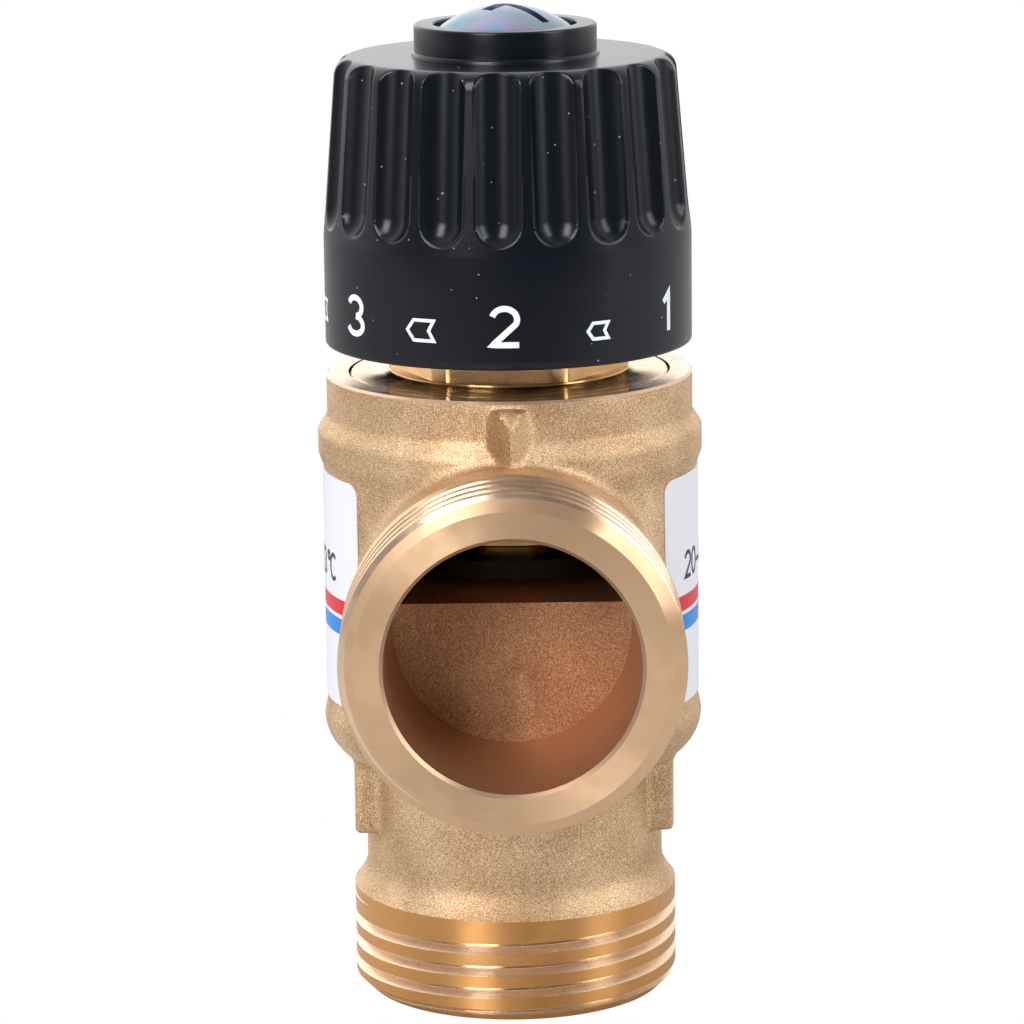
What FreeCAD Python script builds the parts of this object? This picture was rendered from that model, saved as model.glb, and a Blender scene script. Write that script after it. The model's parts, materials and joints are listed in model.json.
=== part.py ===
"""Thermostatic mixing valve: brass tee body with three G1 ports, dial knob and wax-element cartridge.

The origin is the centre of the bottom port's end face. +Z runs up the cartridge and knob axis, the
cold port looks towards -Y and the hot port towards +Y. The mixed water leaves through the bottom port.
Lengths are in millimetres.
"""
import FreeCAD, Part
import math
import os

Vector = FreeCAD.Vector

# ---------------------------------------------------------------- ports
thread_r = 16.62            # crest radius of the G1 pipe thread
thread_length = 10.7
thread_chamfer = 1.4
flare_length = 2.8          # cast cone between the thread and the neck
flare_mid_rise = 0.3        # where the hollow of that cone passes, as shares of its rise and length
flare_mid_run = 0.55
neck_r = 15.25
port_bore_r = 12.3
bore_chamfer = 0.35
straight_bore = 11.0        # parallel stretch behind each side port's face
pocket_r = 11.73            # radius of the side port's pocket at its end wall
pocket_depth = 18.0
port_reach = 41.0           # side port face to the knob axis
port_height = 42.9          # side port axis above the bottom port's face

# ---------------------------------------------------------------- body casting
body_r = 19.0
bowl_r = 19.4               # swell below the labels
bowl_swell = 1.9            # height over which the swell runs out into the body
bowl_round = 4.7            # rounding under the swell
bowl_drop = 14.0            # widest part of the swell below the side port axis
band_r = 19.55              # raised band above the labels
band_rise = 14.5            # middle of the band above the side port axis
band_half = 1.2             # half the height of the band's flat
band_slope = 1.5
collar_r = 18.6             # plain ring at the top of the body
collar_height = 9.85        # top of the body above the upper gallery
pad_across = 32.6           # across the two wrench pads on the bottom neck
pad_half_width = 6.8
pad_height = 6.9
pad_corner = 1.1
rib_reach = 21.2            # ridge of the pointer rib from the knob axis
rib_half_width = 2.65
rib_top_half_width = 1.5
rib_ridge_half = 0.45
rib_top_drop = 0.75         # top of the pointer rib below the top of the body
rib_taper = 2.4             # height over which the rib narrows to its top
rib_facet = 1.5             # height of the small facet at the rib's top
rib_facet_share = 0.45      # how far the facet cuts in, as a share of the rib's depth
rib_root = 1.5              # how deep the rib is sunk into the collar
rib_foot = 0.5              # depth at which its flanks start
casting_mark_r = 0.55
casting_mark_depth = 0.3
casting_mark_drop = 5.0     # mark on the end wall below the port axis
casting_mark_side = 0.8

# ---------------------------------------------------------------- water ways
gallery_r = 16.0
gallery_rise = 11.6         # top of the upper gallery above the side port axis
web_above = 2.3             # the web between the galleries, above the side port axis
web_below = 2.4
seat_drop = 12.4            # hot seat below the side port axis
guide_bore_r = 13.2         # bore in the web that guides the mixing sleeve

# ---------------------------------------------------------------- headwork
headwork_thread_r = 15.1
flange_r = 16.15
flange_thickness = 2.0
skirt_r = 13.4
skirt_length = 5.9
skirt_bore_r = 10.6
key_slot_r = 12.0
key_width = 2.9
step_foot_r = 12.9
step_r = 12.2
step_height = 0.5
step_slope = 0.55           # share of the step's height that slopes
hexagon_across = 22.0
hexagon_height = 7.25
hexagon_turn = -5.4          # as tightened, from square to the front, in degrees
nozzle_r = 8.0              # round neck above the hexagon
nozzle_height = 7.3
nozzle_flat = 7.2           # flat on the neck that keys the stop ring
shoulder_drop = 0.85        # inner shoulder below the flange's seat
flange_o_ring_r = 0.8
groove_lead = 0.35
groove_share = 1.1          # half the height of a seal's groove, in radii of the seal
seal_gap = 0.03             # between a seal and the bore round it

# ---------------------------------------------------------------- spindle
spindle_r = 4.5
spindle_thread_r = 4.0
spindle_chamfer = 0.5
spindle_collar_r = 7.2
spindle_collar_height = 1.6
washer_thickness = 0.5
spline_r = 4.0
spline_root_r = 3.6
spline_teeth = 16
spindle_o_ring_r = 0.6
o_ring_spacing = 3.4
o_ring_rise = 5.0           # lower spindle ring above the inner shoulder
thread_reach = 7.4          # threaded end below the spindle's collar
clip_thickness = 0.6
clip_depth = 0.6
spindle_clip_gap = 70.0     # opening of the ring, in degrees

# ---------------------------------------------------------------- stop ring
stop_ring_r = 10.2
stop_ring_thickness = 3.0
stop_lug_reach = 14.4
stop_lug_half_angle = 25.0
stop_ring_rise = 2.2        # underside above the hexagon
stop_ring_clip_gap = 60.0
knob_lug_reach = 11.4
knob_lug_half_angle = 4.0
knob_lug_angle = 180.0      # where the knob's lug stands when the dial shows 2

# ---------------------------------------------------------------- knob
knob_r = 18.6
knob_gap = 3.07             # under the knob, to the top of the body
knob_skirt = 11.0           # plain band that carries the figures
knob_height = 29.0
knob_top_r = 17.3
knob_round = 1.8
knob_wall = 1.9
knob_edge = 0.3             # chamfer on the knob's lower edge and on its boss
knob_rib_count = 6
knob_rib_width = 1.5
knob_rib_height = 4.0
flute_count = 20
flute_r = 2.75
flute_depth = 1.25
flute_start = 1.1           # lower tip of the flutes above the plain band
flute_turn = -2.8           # first flute from the index line, in degrees
boss_r = 9.19               # round boss on top of the knob
boss_height = 3.14
boss_bore_r = 7.2
boss_foot = 0.6             # ledge round the foot of the boss
boss_foot_height = 0.35
hub_r = 6.6
knob_floor = 2.1            # thickness under the boss
head_r = 6.95
head_rim = 2.0
head_dome = 2.45
dome_mid_r = 0.62           # a point on the dome, as shares of the head's radius and the dome's height
dome_mid_height = 0.72
screw_r = 2.5
screw_length = 15.0         # depth of its hole under the knob's top
screw_end_gap = 1.0
recess_width = 1.5
recess_length = 7.2
recess_depth = 2.4

# ---------------------------------------------------------------- cartridge
nut_r = 10.5
nut_key_reach = 11.9
nut_height = 5.5
nut_drop = 1.8              # top of the nut below the spindle's collar, at rest
nut_tube_r = 8.4
nut_tube_length = 6.9
nut_bore_r = 6.9
nut_thread_length = 4.3
cup_r = 6.8
cup_height = 1.4
cup_boss_r = 3.2
cup_boss_height = 1.0
piston_socket = 1.6
overtravel_wire_r = 0.6
overtravel_turns = 3.5
overtravel_offset = 0.3     # the coil stands this much nearer to the nut than to the spindle
cup_clip_gap = 50.0
cup_clip_width = 1.4
piston_r = 1.5
piston_length = 14.8
piston_chamfer = 0.3
piston_room = 3.0           # depth of the element's bore under the piston
hot_gap = 1.1               # sleeve to the hot seat, at rest
cold_gap = 1.5              # sleeve to the cold seat, at rest
sleeve_bore_r = 10.9
sleeve_o_ring_r = 0.7
sleeve_arms = 4
sleeve_arm_width = 2.4
sleeve_arm_root = 0.5       # how deep an arm is sunk into the sleeve
spider_rise = 1.0           # spider above the sleeve's lower rim
spider_height = 4.0
spider_hub_r = 6.6
element_stem_r = 4.2
element_stem_height = 8.4
element_flange_r = 8.2
element_flange_thickness = 1.6
bulb_r = 6.2
bulb_length = 15.5
bulb_cup = 1.2              # rounding at the bulb's closed end
bulb_gap = 0.15             # radial, between the bulb and its guide
element_clip_gap = 60.0
guide_thickness = 2.0
guide_rise = 1.1            # guide above the bulb's end
guide_rim = 1.8
guide_hub_r = 8.6
guide_arms = 3
guide_arm_width = 2.6
guide_clip_thickness = 0.65
guide_clip_depth = 0.9
guide_clip_width = 1.3
guide_clip_gap = 50.0
return_wire_r = 0.65
return_turns = 6.0
return_coil_r = 7.4

# ---------------------------------------------------------------- labels
label_thickness = 0.12
label_glue = 0.03           # film of adhesive under the label
label_margin = 0.12         # between the label's upright edges and the side ports' necks
label_low = -11.8           # lower edge from the side port axis
label_high = 11.75
label_corner = 1.3

# ---------------------------------------------------------------- clearances
running = 0.05              # radial, between a turning or sliding piece and its bore
static_gap = 0.1            # radial, between screwed pieces drawn without their threads
face_gap = 0.05             # between faces that slide on each other
over = 1.0                  # how far a cutter runs past what it cuts

# ---------------------------------------------------------------- heights that follow
hot_seat_z = port_height - seat_drop
web_low_z = port_height - web_below
web_top_z = port_height + web_above
gallery_top_z = port_height + gallery_rise
body_top_z = gallery_top_z + collar_height
flange_seat_z = body_top_z - flange_thickness
cold_seat_z = gallery_top_z - skirt_length
inner_shoulder_z = flange_seat_z - shoulder_drop
hexagon_low_z = body_top_z + step_height
hexagon_top_z = hexagon_low_z + hexagon_height
nozzle_top_z = hexagon_top_z + nozzle_height
bowl_z = port_height - bowl_drop
bowl_low_z = bowl_z - bowl_round
band_z = port_height + band_rise

collar_top_z = inner_shoulder_z - washer_thickness - 2 * face_gap
collar_low_z = collar_top_z - spindle_collar_height
spindle_low_z = collar_low_z - thread_reach
spindle_clip_z = nozzle_top_z + face_gap
hub_low_z = spindle_clip_z + clip_thickness + 3 * face_gap

knob_low_z = body_top_z + knob_gap
knob_band_z = knob_low_z + knob_skirt
knob_top_z = knob_low_z + knob_height
boss_top_z = knob_top_z + boss_height
spline_top_z = knob_top_z - knob_floor

stop_ring_z = hexagon_top_z + stop_ring_rise
stop_ring_top_z = stop_ring_z + stop_ring_thickness

nut_top_z = collar_low_z - nut_drop
nut_body_z = nut_top_z - nut_height
nut_low_z = nut_body_z - nut_tube_length
nut_inner_z = nut_top_z - nut_thread_length
cup_clip_z = nut_low_z + clip_thickness
cup_low_z = cup_clip_z + clip_thickness + face_gap
cup_top_z = cup_low_z + cup_height
piston_top_z = cup_low_z + piston_socket
piston_low_z = piston_top_z - piston_length

sleeve_low_z = hot_seat_z + hot_gap
sleeve_top_z = cold_seat_z - cold_gap
sleeve_r = guide_bore_r - 2 * running
sleeve_ring_z = (web_low_z + web_top_z) / 2 - (cold_gap - hot_gap) / 2
spider_low_z = sleeve_low_z + spider_rise
spider_top_z = spider_low_z + spider_height
element_top_z = spider_low_z + element_stem_height - running
flange_low_z = spider_low_z - element_flange_thickness
bulb_end_z = flange_low_z - bulb_length
guide_low_z = bulb_end_z + guide_rise
guide_top_z = guide_low_z + guide_thickness


# ---------------------------------------------------------------- drawing helpers
def turned(outline):
    """Revolve a closed outline of (radius, height) points about Z.

    A step with two points is an arc: (through point, end point).
    """
    start = outline[0]
    edges = []
    here = Vector(start[0], 0, start[1])
    for step in list(outline[1:]) + [start]:
        is_arc = isinstance(step[0], tuple)
        end = step[1] if is_arc else step
        there = Vector(end[0], 0, end[1])
        if is_arc:
            middle = Vector(step[0][0], 0, step[0][1])
            edges.append(Part.Arc(here, middle, there).toShape())
        elif here.distanceToPoint(there) > 1e-6:
            edges.append(Part.LineSegment(here, there).toShape())
        here = there
    face = Part.Face(Part.Wire(edges))
    return face.revolve(Vector(0, 0, 0), Vector(0, 0, 1), 360)


def tube(outer_r, inner_r, low_z, high_z):
    """Plain ring between two heights."""
    return turned([(inner_r, low_z), (outer_r, low_z), (outer_r, high_z), (inner_r, high_z)])


def rod(radius, low_z, high_z):
    """Plain cylinder between two heights."""
    return Part.makeCylinder(radius, high_z - low_z, Vector(0, 0, low_z))


def slab(x_low, x_high, y_low, y_high, z_low, z_high):
    """Box between two corners."""
    return Part.makeBox(x_high - x_low, y_high - y_low, z_high - z_low, Vector(x_low, y_low, z_low))


def about_z(shape, degrees):
    """Copy of a shape turned about the knob axis."""
    copy = shape.copy()
    copy.rotate(Vector(0, 0, 0), Vector(0, 0, 1), degrees)
    return copy


def sideways(shape, towards):
    """Lay a shape drawn up +Z on the side port axis, towards -Y or +Y."""
    copy = shape.copy()
    copy.rotate(Vector(0, 0, 0), Vector(1, 0, 0), 90 if towards < 0 else -90)
    copy.translate(Vector(0, 0, port_height))
    return copy


def prism(corners, low_z, high_z):
    """Upright prism over a list of (x, y) corners."""
    points = [Vector(x, y, low_z) for x, y in corners]
    face = Part.Face(Part.makePolygon(points + points[:1]))
    return face.extrude(Vector(0, 0, high_z - low_z))


def sector(inner_r, outer_r, centre_angle, half_angle, low_z, high_z):
    """Block between two radii and two angles about the knob axis."""
    ring = Part.makeCylinder(outer_r, high_z - low_z, Vector(0, 0, low_z), Vector(0, 0, 1), 2 * half_angle)
    ring = ring.cut(rod(inner_r, low_z, high_z))
    return about_z(ring, centre_angle - half_angle)


def toothed(outer_r, root_r, low_z, high_z):
    """Bar with V-shaped spline teeth."""
    corners = []
    for index in range(2 * spline_teeth):
        angle = math.pi * index / spline_teeth
        radius = outer_r if index % 2 == 0 else root_r
        corners.append((radius * math.cos(angle), radius * math.sin(angle)))
    return prism(corners, low_z, high_z)


def coil(coil_r, wire_r, low_z, high_z, turns):
    """Spring of round wire whose end turns lie just off the faces that hold it.

    Each half turn is a tilted half circle that leaves and arrives along Y, so the wire runs on smoothly.
    """
    first = low_z + wire_r + face_gap
    last = high_z - wire_r - face_gap
    halves = round(2 * turns)
    rise = (last - first) / halves
    pieces = []
    for index in range(halves):
        side = 1 if index % 2 == 0 else -1
        start = Vector(side * coil_r, 0, first + index * rise)
        middle = Vector(0, 0, first + (index + 0.5) * rise)
        section = Part.Face(Part.Wire(Part.makeCircle(wire_r, start, Vector(0, 1, 0))))
        pieces.append(section.revolve(middle, Vector(side * rise, 0, 2 * coil_r), 180))
    return pieces[0].multiFuse(pieces[1:])


def o_ring(outer_r, wire_r, middle_z):
    """Round-section seal whose outside reaches outer_r."""
    return Part.makeTorus(outer_r - wire_r, wire_r, Vector(0, 0, middle_z))


def split_ring(outer_r, inner_r, low_z, high_z, gap_angle):
    """Retaining ring with a gap."""
    ring = tube(outer_r, inner_r, low_z, high_z)
    return ring.cut(sector(inner_r / 2, outer_r + over, 90, gap_angle / 2, low_z, high_z))


# ---------------------------------------------------------------- body
def port_outline(reach):
    """Outside of one port, as (radius, distance) from the tee's middle to its end face."""
    thread_start = reach - thread_length
    end_r = thread_r - thread_chamfer
    blend = (neck_r + flare_mid_rise * (thread_r - neck_r), thread_start - flare_mid_run * flare_length)
    return [(0, 0), (neck_r, 0), (neck_r, thread_start - flare_length), (blend, (thread_r, thread_start)),
            (thread_r, reach - thread_chamfer), (end_r, reach), (0, reach)]


def body_outside():
    """Cast and turned outside, with its three ports, wrench pads and pointer rib."""
    corner = bowl_round * (1 - math.sqrt(0.5))
    low_r = bowl_r - bowl_round
    barrel = turned([
        (0, bowl_low_z), (low_r, bowl_low_z),
        ((bowl_r - corner, bowl_low_z + corner), (bowl_r, bowl_z)),
        (body_r, bowl_z + bowl_swell),
        (body_r, band_z - band_half - band_slope),
        (band_r, band_z - band_half), (band_r, band_z + band_half),
        (collar_r, band_z + band_half + band_slope), (collar_r, body_top_z), (0, body_top_z)])
    bottom = turned(port_outline(port_height))
    bottom.rotate(Vector(0, 0, port_height / 2), Vector(1, 0, 0), 180)
    side = turned(port_outline(port_reach))
    pads = slab(-pad_across / 2, pad_across / 2, -pad_half_width, pad_half_width,
                bowl_low_z - pad_height, bowl_z)
    low_edges = [edge for edge in pads.Edges
                 if edge.BoundBox.ZMax < bowl_low_z - pad_height + 1e-6 and edge.BoundBox.XLength < 1e-6]
    pads = pads.makeFillet(pad_corner, low_edges)
    return barrel.multiFuse([bottom, sideways(side, -1), sideways(side, 1), pads, pointer_rib()])


def pointer_rib():
    """Ridge over the cold port that the dial is read against."""
    top_z = body_top_z - rib_top_drop
    root_y = -(collar_r - rib_root)
    foot_y = -(collar_r - rib_foot)

    def section(half_width, z):
        corners = [(-half_width, root_y), (-half_width, foot_y), (-rib_ridge_half, -rib_reach),
                   (rib_ridge_half, -rib_reach), (half_width, foot_y), (half_width, root_y)]
        points = [Vector(x, y, z) for x, y in corners]
        return Part.makePolygon(points + points[:1])

    foot = section(rib_half_width, port_height + pocket_r)
    waist = section(rib_half_width, top_z - rib_taper)
    top = section(rib_top_half_width, top_z)
    rib = Part.makeLoft([foot, waist], True, True).fuse(Part.makeLoft([waist, top], True, True))
    facet_depth = rib_facet_share * (rib_reach - collar_r)
    corners = [Vector(0, -rib_reach, top_z - rib_facet), Vector(0, -rib_reach + facet_depth, top_z),
               Vector(0, -rib_reach, top_z + over), Vector(0, -rib_reach - over, top_z)]
    wedge = Part.Face(Part.makePolygon(corners + corners[:1])).extrude(Vector(4 * rib_half_width, 0, 0))
    wedge.translate(Vector(-2 * rib_half_width, 0, 0))
    return rib.removeSplitter().cut(wedge)


def side_pocket(towards, opening_low_z, opening_high_z):
    """Bore of a side port with its end wall, and the opening past that wall into a gallery."""
    mouth = port_reach - straight_bore
    end = port_reach - pocket_depth
    pocket = sideways(turned([
        (0, end), (pocket_r, end), (port_bore_r, mouth), (port_bore_r, port_reach - bore_chamfer),
        (port_bore_r + bore_chamfer, port_reach), (0, port_reach)]), towards)
    passage = sideways(rod(pocket_r, 0, end + face_gap), towards)
    window = slab(-body_r, body_r, -port_reach, port_reach, opening_low_z, opening_high_z)
    return pocket.fuse(passage.common(window))


def casting_mark():
    """Small round mark on the end wall of the cold pocket."""
    wall_y = -(port_reach - pocket_depth)
    centre_y = wall_y - casting_mark_r + casting_mark_depth
    centre = Vector(casting_mark_side, centre_y, port_height - casting_mark_drop)
    return Part.makeSphere(casting_mark_r, centre)


def valve_body():
    core = turned([
        (0, 0), (port_bore_r + bore_chamfer, 0), (port_bore_r, bore_chamfer),
        (port_bore_r, guide_low_z - guide_clip_thickness - 2 * face_gap),
        (port_bore_r + guide_clip_depth, guide_low_z - guide_clip_thickness - 2 * face_gap),
        (port_bore_r + guide_clip_depth, guide_low_z), (port_bore_r, guide_low_z),
        (port_bore_r, hot_seat_z), (gallery_r, hot_seat_z), (gallery_r, web_low_z),
        (guide_bore_r, web_low_z), (guide_bore_r, web_top_z), (gallery_r, web_top_z),
        (gallery_r, gallery_top_z), (headwork_thread_r + static_gap, gallery_top_z),
        (headwork_thread_r + static_gap, flange_seat_z), (flange_r + 2 * static_gap, flange_seat_z),
        (flange_r + 2 * static_gap, body_top_z), (0, body_top_z)])
    cold_pocket = side_pocket(-1, web_top_z, gallery_top_z)
    hot_pocket = side_pocket(1, hot_seat_z, web_low_z)
    return body_outside().cut([core, cold_pocket, hot_pocket, casting_mark()]).removeSplitter()


# ---------------------------------------------------------------- headwork
def bonnet():
    groove_top = flange_seat_z - groove_lead
    groove_low = groove_top - 2 * groove_share * flange_o_ring_r
    groove_r = headwork_thread_r + static_gap - running - 2 * flange_o_ring_r - running
    outside = turned([
        (0, cold_seat_z), (skirt_r, cold_seat_z), (skirt_r, gallery_top_z + face_gap),
        (headwork_thread_r, gallery_top_z + face_gap), (headwork_thread_r, groove_low),
        (groove_r, groove_low), (groove_r, groove_top), (headwork_thread_r, groove_top),
        (headwork_thread_r, flange_seat_z), (flange_r, flange_seat_z), (flange_r, body_top_z),
        (step_foot_r, body_top_z), (step_r, body_top_z + step_slope * step_height), (step_r, hexagon_low_z),
        (step_r, hexagon_top_z), (nozzle_r, hexagon_top_z), (nozzle_r, nozzle_top_z), (0, nozzle_top_z)])
    corner_r = hexagon_across / math.sqrt(3)
    angles = [math.radians(hexagon_turn + 60 * index) for index in range(6)]
    corners = [(corner_r * math.cos(angle), corner_r * math.sin(angle)) for angle in angles]
    blank = rod(step_r + over, hexagon_low_z, hexagon_top_z)
    chips = blank.cut(prism(corners, hexagon_low_z, hexagon_top_z))
    bore = turned([
        (0, cold_seat_z), (skirt_bore_r, cold_seat_z), (skirt_bore_r, inner_shoulder_z),
        (spindle_r + running, inner_shoulder_z), (spindle_r + running, nozzle_top_z), (0, nozzle_top_z)])
    half_slot = key_width / 2 + static_gap
    slots = slab(-key_slot_r, key_slot_r, -half_slot, half_slot, cold_seat_z, inner_shoulder_z)
    clip_r = nozzle_r - clip_depth
    clip_top_z = stop_ring_top_z + clip_thickness + 2 * face_gap
    clip_groove = tube(nozzle_r + over, clip_r, stop_ring_top_z, clip_top_z)
    flat = slab(-nozzle_r, nozzle_r, nozzle_flat, nozzle_r + over, hexagon_top_z, nozzle_top_z)
    return outside.cut([chips, bore, slots, clip_groove, flat])


def bonnet_o_ring():
    middle_z = flange_seat_z - groove_lead - groove_share * flange_o_ring_r
    return o_ring(headwork_thread_r + static_gap - running, flange_o_ring_r, middle_z)


def stop_ring():
    ring = tube(stop_ring_r, nozzle_r + running, stop_ring_z, stop_ring_top_z)
    lug = sector(nozzle_r + over, stop_lug_reach, 90, stop_lug_half_angle, stop_ring_z, stop_ring_top_z)
    inside = rod(nozzle_r + running, stop_ring_z, stop_ring_top_z)
    key = inside.cut(slab(-stop_ring_r, stop_ring_r, -stop_ring_r, nozzle_flat + running,
                          stop_ring_z, stop_ring_top_z))
    return ring.multiFuse([lug, key]).removeSplitter()


def stop_ring_clip():
    low_z = stop_ring_top_z + face_gap
    return split_ring(nozzle_r + clip_depth, nozzle_r - clip_depth + running, low_z, low_z + clip_thickness,
                      stop_ring_clip_gap)


# ---------------------------------------------------------------- spindle
def spindle():
    groove_r = spindle_r - 2 * spindle_o_ring_r
    grooves = []
    for index in range(2):
        middle_z = inner_shoulder_z + o_ring_rise + index * o_ring_spacing
        half = groove_share * spindle_o_ring_r
        grooves.append(tube(spindle_r + over, groove_r, middle_z - half, middle_z + half))
    clip_groove = tube(spindle_r + over, spindle_r - clip_depth, spindle_clip_z,
                       spindle_clip_z + clip_thickness + face_gap)
    shaft = turned([
        (0, spindle_low_z), (spindle_thread_r - spindle_chamfer, spindle_low_z),
        (spindle_thread_r, spindle_low_z + spindle_chamfer),
        (spindle_thread_r, collar_low_z), (spindle_collar_r, collar_low_z), (spindle_collar_r, collar_top_z),
        (spindle_r, collar_top_z), (spindle_r, hub_low_z), (0, hub_low_z)])
    spline = toothed(spline_r, spline_root_r, hub_low_z, spline_top_z - face_gap)
    screw_hole = rod(screw_r + running, knob_top_z - screw_length, spline_top_z)
    return shaft.fuse(spline).cut(grooves + [clip_groove, screw_hole])


def spindle_o_ring(index):
    middle_z = inner_shoulder_z + o_ring_rise + index * o_ring_spacing
    return o_ring(spindle_r + running - seal_gap, spindle_o_ring_r, middle_z)


def spindle_clip():
    low_z = spindle_clip_z + face_gap / 2
    return split_ring(spindle_r + 2 * clip_depth, spindle_r - clip_depth + running, low_z,
                      low_z + clip_thickness, spindle_clip_gap)


def thrust_washer():
    low_z = collar_top_z + face_gap
    return tube(spindle_collar_r, spindle_r + 4 * running, low_z, low_z + washer_thickness)


# ---------------------------------------------------------------- knob
def flutes():
    """Grip flutes: round-bottomed grooves that follow the taper and start in a spoon end."""
    taper = math.atan2(knob_r - knob_top_r, knob_height - knob_skirt - knob_round)
    half_width = math.sqrt(flute_r ** 2 - (flute_r - flute_depth) ** 2)
    start_z = knob_band_z + flute_start + half_width
    start_r = knob_r - (start_z - knob_band_z) * math.tan(taper) + flute_r - flute_depth
    centre = Vector(0, -start_r, start_z)
    along = Vector(0, math.sin(taper), math.cos(taper))
    groove = Part.makeCylinder(flute_r, knob_height, centre, along)
    cutter = groove.fuse(Part.makeSphere(flute_r, centre))
    return [about_z(cutter, flute_turn + 360.0 * index / flute_count) for index in range(flute_count)]


def knob():
    corner = knob_round * (1 - math.sqrt(0.5))
    shell_r = knob_r - knob_wall
    grip_r = knob_top_r - knob_wall - flute_depth
    outside = turned([
        (0, knob_low_z), (knob_r - knob_edge, knob_low_z), (knob_r, knob_low_z + knob_edge),
        (knob_r, knob_band_z),
        (knob_top_r, knob_top_z - knob_round),
        ((knob_top_r - corner, knob_top_z - corner), (knob_top_r - knob_round, knob_top_z)),
        (boss_r + boss_foot, knob_top_z), (boss_r + boss_foot, knob_top_z + boss_foot_height),
        (boss_r, knob_top_z + boss_foot_height),
        (boss_r, boss_top_z - knob_edge), (boss_r - knob_edge, boss_top_z), (0, boss_top_z)])
    inside = turned([
        (0, knob_low_z), (shell_r, knob_low_z), (shell_r, knob_band_z), (grip_r, knob_band_z + knob_wall),
        (grip_r, spline_top_z), (0, spline_top_z)])
    hub = rod(hub_r, hub_low_z, spline_top_z + over)
    lug = sector(knob_lug_reach, shell_r + over, knob_lug_angle, knob_lug_half_angle,
                 stop_ring_z, knob_band_z)
    rib = slab(hub_r - over, grip_r + over, -knob_rib_width / 2, knob_rib_width / 2,
               spline_top_z - knob_rib_height, spline_top_z + over)
    ribs = [about_z(rib, 360.0 * index / knob_rib_count) for index in range(knob_rib_count)]
    bore = toothed(spline_r + running, spline_root_r + running, hub_low_z, spline_top_z)
    head_recess = rod(boss_bore_r, knob_top_z, boss_top_z)
    screw_hole = rod(screw_r + 2 * static_gap, spline_top_z - over, knob_top_z)
    shell = outside.cut([inside] + flutes())
    return shell.multiFuse([hub, lug] + ribs).cut([bore, head_recess, screw_hole])


def screw_washer():
    return tube(head_r - running, screw_r + static_gap, knob_top_z, knob_top_z + washer_thickness)


def knob_screw():
    seat_z = knob_top_z + washer_thickness
    rim_z = seat_z + head_rim
    top_z = rim_z + head_dome
    shoulder = (dome_mid_r * head_r, rim_z + dome_mid_height * head_dome)
    head = turned([(0, seat_z), (head_r, seat_z), (head_r, rim_z), (shoulder, (0, top_z))])
    shank = rod(screw_r, seat_z - screw_length + screw_end_gap, seat_z)
    slot = slab(-recess_length / 2, recess_length / 2, -recess_width / 2, recess_width / 2,
                top_z - recess_depth, top_z + over)
    return head.fuse(shank).cut([about_z(slot, 45), about_z(slot, 135)])


# ---------------------------------------------------------------- adjusting nut and overtravel cup
def adjusting_nut():
    outside = turned([
        (0, nut_low_z), (nut_tube_r, nut_low_z), (nut_tube_r, nut_body_z), (nut_r, nut_body_z),
        (nut_r, nut_top_z), (0, nut_top_z)])
    keys = slab(-nut_key_reach, nut_key_reach, -key_width / 2, key_width / 2, nut_body_z, nut_top_z)
    bore = turned([
        (0, nut_low_z), (nut_bore_r, nut_low_z), (nut_bore_r, cup_clip_z),
        (nut_bore_r + clip_depth, cup_clip_z), (nut_bore_r + clip_depth, cup_low_z), (nut_bore_r, cup_low_z),
        (nut_bore_r, nut_inner_z), (spindle_thread_r + running, nut_inner_z),
        (spindle_thread_r + running, nut_top_z), (0, nut_top_z)])
    return outside.fuse(keys).cut(bore).removeSplitter()


def cup_clip():
    return split_ring(nut_bore_r + clip_depth - running, nut_bore_r - cup_clip_width, cup_clip_z,
                      cup_clip_z + clip_thickness, cup_clip_gap)


def pressure_cup():
    cup = turned([
        (0, cup_low_z), (cup_r, cup_low_z), (cup_r, cup_top_z), (cup_boss_r, cup_top_z),
        (cup_boss_r, cup_top_z + cup_boss_height), (0, cup_top_z + cup_boss_height)])
    return cup.cut(rod(piston_r + running, cup_low_z, piston_top_z))


def overtravel_spring():
    coil_r = (nut_bore_r + spindle_thread_r) / 2 + overtravel_offset
    return coil(coil_r, overtravel_wire_r, cup_top_z, nut_inner_z, overtravel_turns)


def element_piston():
    return turned([
        (0, piston_low_z), (piston_r, piston_low_z), (piston_r, piston_top_z - piston_chamfer),
        (piston_r - piston_chamfer, piston_top_z), (0, piston_top_z)])


# ---------------------------------------------------------------- mixing sleeve and wax element
def mixing_sleeve():
    groove_half = groove_share * sleeve_o_ring_r
    groove_r = guide_bore_r - 2 * sleeve_o_ring_r - running
    shell = turned([
        (sleeve_bore_r, sleeve_low_z), (sleeve_r, sleeve_low_z), (sleeve_r, sleeve_ring_z - groove_half),
        (groove_r, sleeve_ring_z - groove_half), (groove_r, sleeve_ring_z + groove_half),
        (sleeve_r, sleeve_ring_z + groove_half), (sleeve_r, sleeve_top_z), (sleeve_bore_r, sleeve_top_z)])
    hub = rod(spider_hub_r, spider_low_z, spider_top_z)
    arm = slab(0, sleeve_bore_r + sleeve_arm_root, -sleeve_arm_width / 2, sleeve_arm_width / 2,
               spider_low_z, spider_top_z)
    arms = [about_z(arm, 45 + 360.0 * index / sleeve_arms) for index in range(sleeve_arms)]
    bore = rod(element_stem_r + running, spider_low_z, spider_top_z)
    return shell.multiFuse([hub] + arms).cut(bore)


def sleeve_o_ring():
    return o_ring(guide_bore_r - seal_gap, sleeve_o_ring_r, sleeve_ring_z)


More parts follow.
